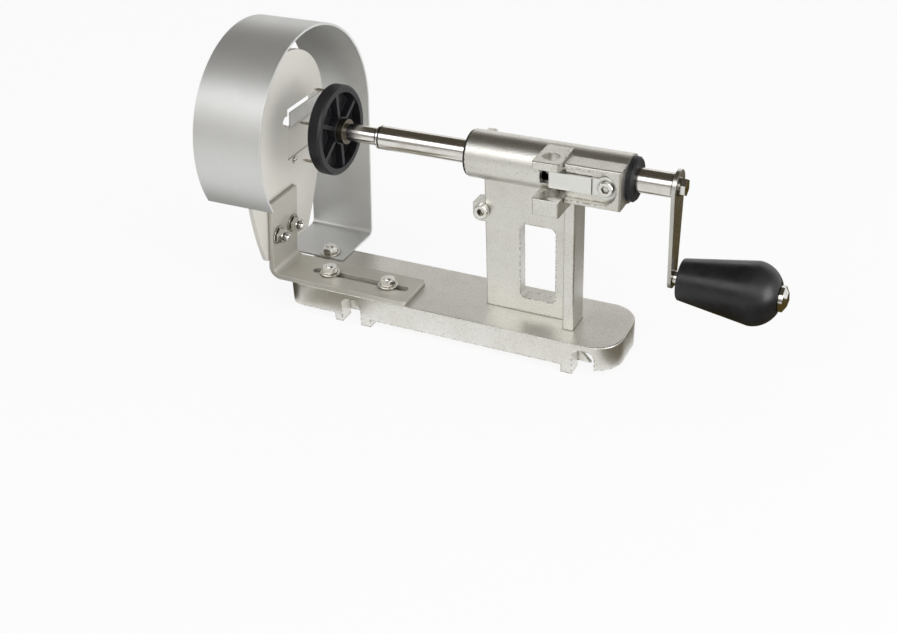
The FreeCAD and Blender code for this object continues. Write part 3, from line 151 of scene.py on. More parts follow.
class Nodes:
    """A node tree, built a step at a time."""

    def __init__(self, tree: bpy.types.NodeTree) -> None:
        """Keep the tree.

        Args:
            tree: the tree of a material or of the world.
        """
        self.tree = tree

    def add(self, kind: str, inputs: dict[str | int, object], **values: object) -> bpy.types.Node:
        """Add a node, set its properties and fill its inputs.

        Args:
            kind: the node's type.
            inputs: a constant or a socket for each input, by its name or number.
            **values: properties of the node.

        Returns:
            The new node.
        """
        made = self.tree.nodes.new(kind)
        for key, value in values.items():
            setattr(made, key, value)
        for key, value in inputs.items():
            if isinstance(value, bpy.types.NodeSocket):
                self.tree.links.new(value, made.inputs[key])
            else:
                made.inputs[key].default_value = value
        return made

    def combine(self, kind: str, first: Socket, second: Socket | float) -> Socket:
        """Combine two values with one step of arithmetic.

        Args:
            kind: the operation.
            first: the first value.
            second: the second value, or a constant.

        Returns:
            The result's socket.
        """
        return self.add("ShaderNodeMath", {0: first, 1: second}, operation=kind).outputs["Value"]


class Recipe(Nodes):
    """One material's node tree."""

    bevel_samples: int = 6
    air_samples: int = 8
    flat: float = 0.01
    open_air: float = 0.92

    def __init__(self, name: str) -> None:
        """Start a material with its shader.

        Args:
            name: the finish in a maker's words.
        """
        self.material = bpy.data.materials.new(name)
        self.material.use_nodes = True
        super().__init__(self.material.node_tree)
        self.shader = self.tree.nodes["Principled BSDF"]

    def place(self, stretch: Triple = (1.0, 1.0, 1.0)) -> Socket:
        """Return object coordinates in metres, stretched by a factor on each axis.

        Args:
            stretch: factors along X, Y and Z.

        Returns:
            The coordinates' socket.
        """
        where = self.add("ShaderNodeTexCoord", {}).outputs["Object"]
        return self.add("ShaderNodeMapping", {"Vector": where, "Scale": stretch}).outputs["Vector"]

    def noise(self, where: Socket, layer: Noise) -> Socket:
        """Return a noise value over coordinates.

        Args:
            where: the coordinates.
            layer: what the noise is like.

        Returns:
            The value's socket.
        """
        return self.add("ShaderNodeTexNoise", {
            "Vector": where, "Scale": layer.scale, "Detail": layer.detail,
            "Roughness": layer.rough}).outputs["Fac"]

    def band(self, value: Socket, span: Pair, result: Pair = (0.0, 1.0)) -> Socket:
        """Map a value from one range to another, with limits.

        Args:
            value: what is mapped.
            span: the values that give the results.
            result: the results at both ends.

        Returns:
            The mapped value's socket.
        """
        return self.add("ShaderNodeMapRange", {
            "Value": value, "From Min": span[0], "From Max": span[1],
            "To Min": result[0], "To Max": result[1]}, clamp=True).outputs["Result"]

    def fade(self, value: Socket, fade: Fade) -> Socket:
        """Return a mask of the places where a value shows.

        Args:
            value: what is mapped.
            fade: where it starts and is full.

        Returns:
            The mask's socket.
        """
        return self.band(value, (fade.start, fade.full), (0.0, fade.share))

    def layers(self, ground: Colour, *layers: tuple[Socket, Colour]) -> Socket:
        """Lay colours over a ground, each by its mask.

        Args:
            ground: the colour underneath.
            *layers: pairs of mask and colour, the lowest first.

        Returns:
            The mixed colour's socket.
        """
        below: object = covering(ground)
        for mask, colour in layers:
            below = self.add("ShaderNodeMix", {"Factor": mask, 6: below, 7: covering(colour)},
                             data_type="RGBA").outputs[2]
        return below

    def softened(self, radius: float) -> Socket:
        """Return the surface's normal with its edges rounded.

        Args:
            radius: the rounding in millimetres.

        Returns:
            The normal's socket.
        """
        return self.add("ShaderNodeBevel", {"Radius": radius * MILLI},
                        samples=self.bevel_samples).outputs["Normal"]

    def edges(self, radius: float, sharp: float = 0.25) -> Socket:
        """Return a mask of the convex and concave edges.

        Args:
            radius: reach of the mask in millimetres.
            sharp: how strong a turn of the surface fills the mask.

        Returns:
            The mask's socket.
        """
        true = self.add("ShaderNodeNewGeometry", {}).outputs["Normal"]
        same = self.add("ShaderNodeVectorMath", {0: self.softened(radius), 1: true},
                        operation="DOT_PRODUCT").outputs["Value"]
        return self.band(same, (1.0 - self.flat, 1.0 - sharp))

    def painted_crevice_shade(self, reach: float, full: float = 0.45) -> Socket:
        """Return a mask of the corners and gaps, where shade is painted into the colour.

        Args:
            reach: how far the other wall may be, in millimetres.
            full: share of open air at which the mask is full.

        Returns:
            The mask's socket.
        """
        # Ambient occlusion finds the corners and gaps that get painted shade.
        air = self.add("ShaderNodeAmbientOcclusion", {"Distance": reach * MILLI},
                       samples=self.air_samples).outputs["AO"]
        return self.band(air, (full, self.open_air), (1.0, 0.0))

    def done(self, colour: Socket, rough: Socket, height: Socket, relief: Relief,
             **values: float) -> bpy.types.Material:
        """Fill the shader and return the material.

        Args:
            colour: the surface's colour.
            rough: its roughness.
            height: its height, from 0 to 1.
            relief: how much of the height shows.
            **values: constants of the shader, by their names with underscores.

        Returns:
            The material.
        """
        raised = self.add("ShaderNodeBump", {
            "Strength": relief.share, "Distance": relief.depth * MILLI, "Height": height,
            "Normal": self.softened(relief.rounding)}).outputs["Normal"]
        joined = (("Base Color", colour), ("Roughness", rough), ("Normal", raised))
        for name, socket in joined:
            self.tree.links.new(socket, self.shader.inputs[name])
        for key, value in values.items():
            self.shader.inputs[key.replace("_", " ")].default_value = value
        return self.material


@dataclass(frozen=True)
class CastMetal:
    """Bead blasted casting: finely speckled, with painted highlight and shade on its edges,
    painted shade in corners.
    """

    name: str
    colour: Colour = (0.78, 0.77, 0.73)
    stain: Colour = (0.70, 0.685, 0.635)
    # Bright grain specks, and the painted highlights on edges.
    bright_speck_and_highlight: Colour = (0.97, 0.96, 0.94)
    # Dark grain specks, and the painted shade on edges.
    dark_speck_and_shade: Colour = (0.20, 0.18, 0.135)
    # Colour of the painted shade in corners and gaps.
    painted_shade_colour: Colour = (0.16, 0.14, 0.095)
    roughness: Pair = (0.44, 0.32)
    smoothing: Pair = (0.3, 0.7)
    # Strength and noisy spread of the painted shade in corners.
    painted_shade_level: float = 0.55
    painted_shade_spread: Pair = (0.25, 0.6)
    clouds: Noise = Noise(30.0, 4.0, 0.6)
    grain: Noise = Noise(1300.0, 2.0, 0.6)
    pits: Noise = Noise(715.0, 2.0, 0.65)
    ragged: Noise = Noise(520.0, 4.0, 0.75)
    stains: Fade = Fade(0.42, 0.72)
    bright_specks: Fade = Fade(0.56, 0.74, 0.30)
    dark_specks: Fade = Fade(0.42, 0.28, 0.28)
    # Painted highlight and painted shade along the edges.
    painted_edge_highlight: Fade = Fade(0.50, 0.58, 0.8)
    painted_edge_shade: Fade = Fade(0.52, 0.45, 0.85)
    grains: Fade = Fade(0.2, 0.8, 0.6)
    edge_reach: float = 2.0
    edge_turn: float = 0.12
    gap: float = 1.8
    relief: Relief = Relief(0.16, 0.6, 0.6)

    def build(self) -> bpy.types.Material:
        """Return the material."""
        mix = Recipe(self.name)
        where = mix.place()
        pits = mix.noise(where, self.pits)
        ragged = mix.noise(where, self.ragged)
        edge = mix.edges(self.edge_reach, self.edge_turn)
        # How strong the painted corner shade is, varied by noise.
        painted_shade_strength = mix.band(ragged, self.painted_shade_spread, (self.painted_shade_level / 2, self.painted_shade_level))
        colour = mix.layers(
            self.colour,
            (mix.fade(mix.noise(where, self.clouds), self.stains), self.stain),
            (mix.fade(pits, self.bright_specks), self.bright_speck_and_highlight),
            (mix.fade(pits, self.dark_specks), self.dark_speck_and_shade),
            # Painted highlights along the edges, broken into specks.
            (mix.combine("MULTIPLY", edge, mix.fade(ragged, self.painted_edge_highlight)), self.bright_speck_and_highlight),
            # Painted shade along the edges, broken into specks.
            (mix.combine("MULTIPLY", edge, mix.fade(ragged, self.painted_edge_shade)), self.dark_speck_and_shade),
            # Painted shade in corners and gaps.
            (mix.combine("MULTIPLY", mix.painted_crevice_shade(self.gap), painted_shade_strength), self.painted_shade_colour))
        rough = mix.band(pits, self.smoothing, self.roughness)
        grain = mix.fade(mix.noise(where, self.grain), self.grains)
        return mix.done(colour, rough, mix.combine("ADD", grain, pits), self.relief, Metallic=1.0)


@dataclass(frozen=True)
class BrushedSheet:
    """Stainless sheet with a brushed grain, soft stains, painted highlights on its edges and
    painted shade in its corners.
    """

    name: str
    colour: Colour = (0.62, 0.62, 0.61)
    stain: Colour = (0.54, 0.535, 0.52)
    # Colour of the brushed streaks and of the painted highlights on the edges.
    edge: Colour = (0.86, 0.86, 0.84)
    # Colour of the painted shade in corners and gaps.
    painted_shade_colour: Colour = (0.16, 0.15, 0.12)
    roughness: float = 0.32
    uneven: float = 0.05
    smoothing: Pair = (0.25, 0.75)
    grain: Triple = (1.0, 0.02, 0.02)
    lines: Noise = Noise(2600.0, 3.0, 0.65)
    clouds: Noise = Noise(22.0)
    stains: Fade = Fade(0.40, 0.75)
    brushing: Pair = (0.35, 0.8)
    brushed: float = 0.10
    rim: float = 0.6
    gap: float = 3.0
    painted_shade_level: Fade = Fade(0.0, 1.0, 0.7)
    relief: Relief = Relief(0.005, 0.6, 0.25)
    metallic: float = 1.0

    def build(self) -> bpy.types.Material:
        """Return the material."""
        mix = Recipe(self.name)
        lines = mix.noise(mix.place(self.grain), self.lines)
        colour = mix.layers(
            self.colour,
            (mix.fade(mix.noise(mix.place(), self.clouds), self.stains), self.stain),
            (mix.band(lines, self.brushing, (0.0, self.brushed)), self.edge),
            # Painted highlights on the edges.
            (mix.edges(self.rim), self.edge),
            # Painted shade in corners and gaps.
            (mix.fade(mix.painted_crevice_shade(self.gap), self.painted_shade_level), self.painted_shade_colour))
        rough = mix.band(lines, self.smoothing,
                         (self.roughness + self.uneven, self.roughness - self.uneven))
        return mix.done(colour, rough, lines, self.relief, Metallic=self.metallic)


@dataclass(frozen=True)
class PolishedSteel:
    """Ground or plated steel with faint turning marks, painted highlights on its edges and painted
    shade in its corners.
    """

    name: str
    colour: Colour = (0.85, 0.83, 0.80)
    film: Colour = (0.68, 0.65, 0.60)
    # Colour of the painted highlights on the edges.
    edge: Colour = (0.92, 0.91, 0.88)
    # Colour of the painted shade in corners and gaps.
    painted_shade_colour: Colour = (0.14, 0.12, 0.08)
    roughness: float = 0.13
    uneven: Pair = (-0.03, 0.08)
    smoothing: Pair = (0.3, 0.7)
    marks: Triple = (1.0, 0.04, 0.04)
    lines: Noise = Noise(1800.0, 3.0, 0.6)
    clouds: Noise = Noise(60.0, 3.0, 0.6)
    films: Fade = Fade(0.45, 0.8)
    rim: float = 0.35
    gap: float = 3.0
    painted_shade_level: Fade = Fade(0.0, 1.0, 0.6)
    relief: Relief = Relief(0.004, 0.6, 0.2)

    def build(self) -> bpy.types.Material:
        """Return the material."""
        mix = Recipe(self.name)
        lines = mix.noise(mix.place(self.marks), self.lines)
        clouds = mix.noise(mix.place(), self.clouds)
        colour = mix.layers(
            self.colour,
            (mix.fade(clouds, self.films), self.film),
            # Painted highlights on the edges.
            (mix.edges(self.rim), self.edge),
            # Painted shade in corners and gaps.
            (mix.fade(mix.painted_crevice_shade(self.gap), self.painted_shade_level), self.painted_shade_colour))
        rough = mix.band(clouds, self.smoothing,
                         (self.roughness + self.uneven[0], self.roughness + self.uneven[1]))
        return mix.done(colour, rough, lines, self.relief, Metallic=1.0)


@dataclass(frozen=True)
class MouldedPlastic:
    """Black moulded plastic: fine grain, a dusty bloom and painted sheen on its edges."""

    name: str
    colour: Colour = (0.012, 0.012, 0.013)
    # Colour of the dusty bloom and of the painted sheen on the edges.
    dust_and_sheen: Colour = (0.075, 0.077, 0.082)
    roughness: float = 0.38
    scuffs: float = 0.10
    scuffing: Pair = (0.3, 0.75)
    clouds: Noise = Noise(48.0, 4.0, 0.6)
    grain: Noise = Noise(1900.0, 2.0, 0.5)
    bloom: Fade = Fade(0.35, 0.8, 0.45)
    rim: float = 0.5
    # Share of the painted sheen on the edges.
    painted_edge_sheen: Fade = Fade(0.0, 1.0, 0.8)
    relief: Relief = Relief(0.03, 0.4, 0.3)
    index: float = 1.5
    gloss: float = 0.32

    def build(self) -> bpy.types.Material:
        """Return the material."""
        mix = Recipe(self.name)
        where = mix.place()
        clouds = mix.noise(where, self.clouds)
        colour = mix.layers(
            self.colour,
            (mix.fade(clouds, self.bloom), self.dust_and_sheen),
            # Painted sheen on the edges.
            (mix.fade(mix.edges(self.rim), self.painted_edge_sheen), self.dust_and_sheen))
        rough = mix.band(clouds, self.scuffing,
                         (self.roughness - self.scuffs / 2, self.roughness + self.scuffs))
        return mix.done(colour, rough, mix.noise(where, self.grain), self.relief,
                        Metallic=0.0, IOR=self.index, Specular_IOR_Level=self.gloss)


Finish = CastMetal | BrushedSheet | PolishedSteel | MouldedPlastic


class Workshop:
    """Keeps one built material for each finish, and dresses nodes and pieces with them."""

    def __init__(self, frame: dict) -> None:
        """Keep the loaded frame.
        """
        self.nodes: dict[str, bpy.types.Object] = frame["nodes"]
        self.built: dict[str, bpy.types.Material] = {}

    def material(self, finish: Finish) -> bpy.types.Material:
        """Return the finish's material, built the first time it is asked for."""
        if finish.name not in self.built:
            self.built[finish.name] = finish.build()
        return self.built[finish.name]

    def coat(self, piece: bpy.types.Object, finish: Finish) -> None:
        """Give one object a finish in place of what it has.

        Args:
            piece: the object.
            finish: what it is made of.
        """
        piece.data.materials.clear()
        piece.data.materials.append(self.material(finish))

    def dress(self, finish: Finish, *names: str) -> None:
        """Give CAD nodes a finish.

        Args:
            finish: what they are made of.
            *names: the nodes.
        """
        for name in names:
            self.coat(self.nodes[name], finish)
            LOG.info("%s: %s", name, finish.name)

    def finish_piece(self, piece: bpy.types.Object, finish: Finish, body: Body, slot: str,
                     *instead_of: str) -> bpy.types.Object:
        """Dress a new piece and set it on its body.

        Args:
            piece: the new object.
            finish: what it is made of.
            body: the body that it moves with.
            slot: the record's material slot, which is not used.
            *instead_of: CAD nodes that it stands for.

        Returns:
            The same object.
        """
        self.coat(piece, finish)
        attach(piece, body.value)
        if instead_of:
            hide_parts(*instead_of)
        LOG.info("%s: new piece, %s, rides on %s", piece.name, finish.name, body.value)
        return piece


def keep_mesh(name: str, mesh: bmesh.types.BMesh, sharp: float = 35.0) -> bpy.types.Object:
    """Write a bmesh to a new object with smooth faces and sharp edges.

    Args:
        name: the object's name.
        mesh: geometry in metres, in its place.
        sharp: angle in degrees above which an edge stays sharp.

    Returns:
        The new object.
    """
    bmesh.ops.remove_doubles(mesh, verts=mesh.verts, dist=WELD)
    bmesh.ops.recalc_face_normals(mesh, faces=mesh.faces)
    for face in mesh.faces:
        face.smooth = True
    for edge in mesh.edges:
        edge.smooth = edge.calc_face_angle(0.0) < math.radians(sharp)
    data = bpy.data.meshes.new(name)
    mesh.to_mesh(data)
    mesh.free()
    made = bpy.data.objects.new(name, data)
    bpy.context.scene.collection.objects.link(made)
    return made


def lathe(mesh: bmesh.types.BMesh, profile: Sequence[Pair], place: Matrix, steps: int) -> None:
    """Spin a profile into a closed turned solid and add it to a mesh.

    Args:
        mesh: the mesh it goes into.
        profile: pairs of distance along the axis and radius, in millimetres, from the
            axis back to the axis.
        place: matrix from the turned piece's own frame, in metres.
        steps: facets around.
    """
    part = bmesh.new()
    spots = [part.verts.new((along * MILLI, 0.0, radius * MILLI)) for along, radius in profile]
    lines = [part.edges.new(pair) for pair in zip(spots, spots[1:])]
    bmesh.ops.spin(part, geom=spots + lines, cent=(0, 0, 0), axis=(1, 0, 0), dvec=(0, 0, 0),
                   angle=math.tau, steps=steps, use_merge=True)
    bmesh.ops.remove_doubles(part, verts=part.verts, dist=AXIS_WELD)
    bmesh.ops.transform(part, matrix=place, verts=part.verts)
    add_to(mesh, part)


def add_to(mesh: bmesh.types.BMesh, part: bmesh.types.BMesh) -> None:
    """Add one bmesh to another and free it.

    Args:
        mesh: the mesh that grows.
        part: the mesh that is added.
    """
    data = bpy.data.meshes.new("passing")
    part.to_mesh(data)
    part.free()
    mesh.from_mesh(data)
    bpy.data.meshes.remove(data)


@dataclass(frozen=True)
class Camera:
    """The photograph's viewpoint, fitted to it: angles in degrees, clip distances in metres."""

    place: Triple = (298.77, -678.99, 482.66)
    azimuth: float = 26.83
    elevation: float = 32.03
    roll: float = -2.46
    lens: float = 50.08
    sensor: float = 36.0
    nearest: float = 0.01
    farthest: float = 50.0

    def build(self) -> bpy.types.Object:
        """Make the scene's camera.

        Returns:
            The camera object.
        """
        turn, rise, roll = map(math.radians, (self.azimuth, self.elevation, self.roll))
        back = Vector((math.sin(turn) * math.cos(rise), -math.cos(turn) * math.cos(rise),
                       math.sin(rise)))
        right = (-back).cross(Vector((0, 0, 1))).normalized()
        above = right.cross(-back)
        across = right * math.cos(roll) + above * math.sin(roll)
        upward = above * math.cos(roll) - right * math.sin(roll)
        data = bpy.data.cameras.new("photo_camera")
        data.lens = self.lens
        data.sensor_width = self.sensor
        data.sensor_fit = "HORIZONTAL"
        data.clip_start = self.nearest
        data.clip_end = self.farthest
        made = bpy.data.objects.new("photo_camera", data)
        made.matrix_world = Matrix.Translation(Vector(self.place) * MILLI) @ Matrix(
            (across, upward, back)).transposed().to_4x4()
        bpy.context.scene.collection.objects.link(made)
        bpy.context.scene.camera = made
        return made


class Rays(Enum):
    """Rays that see the plain white surroundings."""

    CAMERA = "Is Camera Ray"
    GLOSSY = "Is Glossy Ray"
    TRANSMISSION = "Is Transmission Ray"


@dataclass(frozen=True)
class Lamp:
    """One soft white area lamp, in metres and watts."""

    name: str
    place: Triple
    size: Pair
    power: float
    aim: Triple = (0.0, 0.0, 0.10)

    def build(self) -> None:
        """Make the lamp and point it."""
        data = bpy.data.lights.new(self.name, "AREA")
        data.shape = "RECTANGLE"
        data.size, data.size_y = self.size
        data.energy = self.power
        made = bpy.data.objects.new(self.name, data)
        made.location = self.place
        toward = Vector(self.aim) - Vector(self.place)
        made.rotation_euler = toward.to_track_quat("-Z", "Y").to_euler()
        bpy.context.scene.collection.objects.link(made)


def bare_material(name: str) -> tuple[bpy.types.Material, Nodes]:
    """Start a material for the studio.

    Args:
        name: what it stands for.

    Returns:
        The material and its empty node tree.
    """
    made = bpy.data.materials.new(name)
    made.use_nodes = True
    made.node_tree.nodes.clear()
    return made, Nodes(made.node_tree)


class Facing(Enum):
    """Directions that a card may face."""

    UP = (0.0, 0.0, 1.0)
    DOWN = (0.0, 0.0, -1.0)
    RIGHT = (1.0, 0.0, 0.0)
    FAR = (0.0, 1.0, 0.0)
    NEAR = (0.0, -1.0, 0.0)


@dataclass(frozen=True)
class Card:
    """A plain panel that only reflections see: a wall, a flag or a patch of the table.

    Its middle and size are in metres.
    """

    name: str
    faces: Facing
    middle: Triple
    size: Pair
    colour: Colour

    def build(self) -> None:
        """Make the panel and hide it from all but reflections."""
        mesh = bmesh.new()
        bmesh.ops.create_grid(mesh, x_segments=1, y_segments=1, size=0.5)
        bmesh.ops.scale(mesh, vec=(*self.size, 1.0), verts=mesh.verts)
        made = keep_mesh(self.name, mesh)
        made.rotation_euler = Vector(self.faces.value).to_track_quat("Z", "Y").to_euler()
        made.location = self.middle
        paint, nodes = bare_material(self.name)
        glow = nodes.add("ShaderNodeEmission", {"Color": covering(self.colour)})
        nodes.add("ShaderNodeOutputMaterial", {"Surface": glow.outputs["Emission"]})
        made.data.materials.append(paint)
        made.visible_camera = False
        made.visible_diffuse = False
        made.visible_shadow = False
        made.visible_transmission = False


@dataclass
class Studio:
    """Pale floor, white surroundings, soft lamps, and the room that reflections see as cards."""

    floor_size: float = 14.0
    floor_sides: int = 96
    floor_white: float = 0.90
    share: float = 0.86
    fill: float = 0.60
    lamps: tuple[Lamp, ...] = (
        Lamp("front_softbox", (0.10, -1.17, 1.19), (3.0, 0.70), 9.5),
        Lamp("low_front", (-0.34, -1.30, 0.22), (0.60, 0.20), 0.22),
        Lamp("back_strip", (-0.30, 2.2, 0.95), (3.2, 0.35), 3.5),
        Lamp("right_softbox", (1.6, -0.35, 0.50), (0.9, 0.9), 13.0),
    )
    cards: tuple[Card, ...] = (
        Card("dull_ceiling", Facing.DOWN, (0.0, 0.5, 1.62), (5.0, 2.87), (0.075, 0.065, 0.05)),
        Card("camera_side", Facing.FAR, (0.2, -1.75, 0.40), (2.6, 0.75), (0.22, 0.21, 0.19)),
        Card("left_flag", Facing.RIGHT, (-1.1, -0.45, 0.45), (2.1, 0.9), (0.20, 0.17, 0.12)),
        Card("back_wall", Facing.NEAR, (0.0, 2.6, 1.05), (9.0, 2.3), (0.70, 0.69, 0.67)),
        Card("front_table", Facing.UP, (-0.2, -0.70, 0.001), (2.4, 1.29), (0.82, 0.82, 0.80)),
        Card("left_table", Facing.UP, (-0.37, 0.06, 0.002), (0.40, 0.36), (0.04, 0.034, 0.018)),
        Card("left_front_table", Facing.UP, (-0.135, -0.085, 0.002), (0.05, 0.10),
             (0.22, 0.20, 0.15)),
        Card("right_table", Facing.UP, (0.385, 0.0, 0.002), (0.58, 0.70), (0.075, 0.055, 0.016)),
    )

    def build(self) -> None:
        """Make the whole studio."""
        self.world()
        self.floor()
        for piece in (*self.lamps, *self.cards):
            piece.build()
        bpy.context.scene.view_settings.view_transform = "Standard"

    @staticmethod
    def seen(nodes: Nodes) -> Socket:
        """Return 1 for the rays that see the white surroundings.

        Args:
            nodes: the node tree that it goes into.

        Returns:
            The value's socket.
        """
        path = nodes.add("ShaderNodeLightPath", {}).outputs
        total = path[Rays.CAMERA.value]
        for ray in (Rays.GLOSSY, Rays.TRANSMISSION):
            total = nodes.combine("MAXIMUM", total, path[ray.value])
        return total

    def world(self) -> None:
        """Light the room evenly and show white to the camera and to reflections."""
        world = bpy.data.worlds.new("studio_air")
        bpy.context.scene.world = world
        world.use_nodes = True
        world.node_tree.nodes.clear()
        nodes = Nodes(world.node_tree)
        shades = [nodes.add("ShaderNodeBackground", {"Color": covering(WHITE), "Strength": level})
                  for level in (self.fill, 1.0)]
        both = nodes.add("ShaderNodeMixShader", {
            "Fac": self.seen(nodes), 1: shades[0].outputs["Background"],
            2: shades[1].outputs["Background"]})
        nodes.add("ShaderNodeOutputWorld", {"Surface": both.outputs["Shader"]})

    def floor(self) -> None:
        """Lay the pale floor, which keeps the object's shadow."""
        mesh = bmesh.new()
        bmesh.ops.create_circle(mesh, cap_ends=True, segments=self.floor_sides,
                                radius=self.floor_size / 2)
        made = keep_mesh("pale_floor", mesh)
        paint, nodes = bare_material("pale floor")
        pale = (self.floor_white, self.floor_white, self.floor_white)
        dull = nodes.add("ShaderNodeBsdfDiffuse", {"Color": covering(pale)})
        glow = nodes.add("ShaderNodeEmission", {"Color": covering(WHITE)})
        both = nodes.add("ShaderNodeMixShader", {
            "Fac": nodes.combine("MULTIPLY", self.seen(nodes), self.share),
            1: dull.outputs["BSDF"], 2: glow.outputs["Emission"]})
        nodes.add("ShaderNodeOutputMaterial", {"Surface": both.outputs["Shader"]})
        made.data.materials.append(paint)


@dataclass(frozen=True)
class Bolt:
    """A hexagon bolt with a chamfered head, a plain shank and a cut thread at its end.

    Groove and ridge are the shares of a pitch between which the thread's root and crest run, and
    tip is the point's length and its depth.
    """

    name: str
    node: str
    body: Body
    place: Matrix
    grip: float
    axis: Axis = Axis.UP
    shank: float = 2.95
    root: float = 2.45
    in_head: float = 0.4
    half_flats: float = 5.0
    head: float = 3.6
    chamfer: float = 0.45
    chamfer_steps: int = 2
    pitch: float = 1.0
    threaded: float = 9.0
    groove: Pair = (0.30, 0.45)
    ridge: Pair = (0.80, 0.95)
    plain_end: float = 0.5
    tip: Pair = (0.35, 0.5)
    facets: int = 40
    sharp: float = 28.0

    def outline(self) -> list[Pair]:
        """Return the shank's profile with its thread's ridges."""
        spot = self.grip - self.threaded
        line = [(-self.in_head, 0.0), (-self.in_head, self.shank), (spot, self.shank)]
        while spot + self.pitch < self.grip - self.plain_end:
            line += [(spot + share * self.pitch, self.root) for share in self.groove]
            line += [(spot + share * self.pitch, self.shank) for share in self.ridge]
            spot += self.pitch
        length, taper = self.tip
        return line + [(self.grip - length, self.root), (self.grip, self.root - taper),
                       (self.grip, 0.0)]

    def hexagon(self) -> bmesh.types.BMesh:
        """Return the head along +X with its outer rim chamfered, in metres."""
        head = bmesh.new()
        corner = self.half_flats / math.cos(math.pi / 6) * MILLI
        middle = -self.head / 2 * MILLI
        bmesh.ops.create_cone(head, cap_ends=True, segments=6, radius1=corner, radius2=corner,
                              depth=self.head * MILLI)
        bmesh.ops.rotate(head, cent=(0, 0, 0), matrix=Matrix.Rotation(math.pi / 2, 3, "Y"),
                         verts=head.verts)
        bmesh.ops.translate(head, vec=(middle, 0, 0), verts=head.verts)
        rims = [edge for edge in head.edges if all(vert.co.x < middle for vert in edge.verts)]
        bmesh.ops.bevel(head, geom=rims, offset=self.chamfer * MILLI,
                        segments=self.chamfer_steps, profile=0.5, affect="EDGES", material=-1)
        return head

    def build(self, shop: Workshop, finish: Finish) -> bpy.types.Object:
        """Make the bolt and put it in its node's place.

        Args:
            shop: dresses the piece.
            finish: its finish.

        Returns:
            The bolt.
        """
        mesh = bmesh.new()
        place = self.place @ self.axis.turn()
        lathe(mesh, self.outline(), place, self.facets)
        head = self.hexagon()
        bmesh.ops.transform(head, matrix=place, verts=head.verts)
        add_to(mesh, head)
        return shop.finish_piece(keep_mesh(self.name, mesh, self.sharp), finish, self.body,
                                 "plated_steel", self.node)


CASTING = CastMetal("blasted casting")
# A paler copy of the casting without painted corner shade: its colour is a painted highlight along
# the foot fillet.
HIGHLIT_FILLET = CastMetal("blasted fillet with painted highlight", colour=(0.95, 0.94, 0.92), stain=(0.90, 0.89, 0.86),
                   painted_shade_level=0.0)
SHEET = BrushedSheet("brushed guard sheet", colour=(0.72, 0.725, 0.72), stain=(0.66, 0.665, 0.66),
                     roughness=0.46, metallic=0.80, brushed=0.14, relief=Relief(0.008, 0.6, 0.25))
PLATE = BrushedSheet("satin plate", colour=(0.79, 0.77, 0.715), stain=(0.74, 0.72, 0.66),
                     edge=(0.96, 0.95, 0.92), roughness=0.52, grain=(0.03, 1.0, 0.03),
                     brushed=0.05, metallic=0.30)
BRACKET = BrushedSheet("satin bracket", colour=(0.58, 0.56, 0.51), stain=(0.52, 0.50, 0.44),
                       edge=(0.90, 0.89, 0.86), roughness=0.48, grain=(0.03, 1.0, 0.03),
                       brushed=0.06, metallic=0.6)
ARM = BrushedSheet("satin arm", colour=(0.68, 0.67, 0.63), roughness=0.28, grain=(1.0, 1.0, 0.03))
BLADE = BrushedSheet("ground blade", colour=(0.84, 0.835, 0.80), roughness=0.40,
                     grain=(1.0, 0.03, 1.0), brushed=0.06, metallic=0.6)
BAR = BrushedSheet("milled bar", colour=(0.86, 0.86, 0.84), stain=(0.78, 0.78, 0.76),
                   roughness=0.30, grain=(0.05, 1.0, 1.0))
ROD = PolishedSteel("polished rod")
# The collar's dark colour is a painted reflection of the black wheel beside it, and its light
# edges are painted highlights.
REFLECTION_DARKENED_COLLAR = PolishedSteel("collar darkened by painted reflection", colour=(0.16, 0.14, 0.11), film=(0.10, 0.085, 0.06),
                       edge=(0.40, 0.38, 0.34), roughness=0.34)
SPIKE = PolishedSteel("drawn spike", colour=(0.44, 0.41, 0.36), film=(0.30, 0.27, 0.22),
                      edge=(0.60, 0.58, 0.53), roughness=0.24)
# Strong painted shade in the gaps around the fasteners.
PLATED = PolishedSteel("plated fastener", colour=(0.84, 0.83, 0.80), film=(0.70, 0.68, 0.63),
                       painted_shade_level=Fade(0.0, 1.0, 0.9), marks=(1.0, 1.0, 1.0),
                       lines=Noise(900.0, 3.0, 0.6))
# The wheel's light bluish edge colour paints the sheen on its rims and spokes, as well as its
# dust.
WHEEL = MouldedPlastic("moulded wheel", colour=(0.006, 0.006, 0.007), dust_and_sheen=(0.085, 0.088, 0.098),
                       bloom=Fade(0.35, 0.8, 0.24))
BUSH = MouldedPlastic("moulded bush", roughness=0.46, grain=Noise(900.0, 2.0, 0.5), gloss=0.22)
KNOB = MouldedPlastic("moulded knob", colour=(0.009, 0.009, 0.010), dust_and_sheen=(0.035, 0.036, 0.040),
                      roughness=0.30, scuffs=0.14, grain=Noise(2400.0, 2.0, 0.5),
                      relief=Relief(0.015, 0.4, 0.3), gloss=0.42)


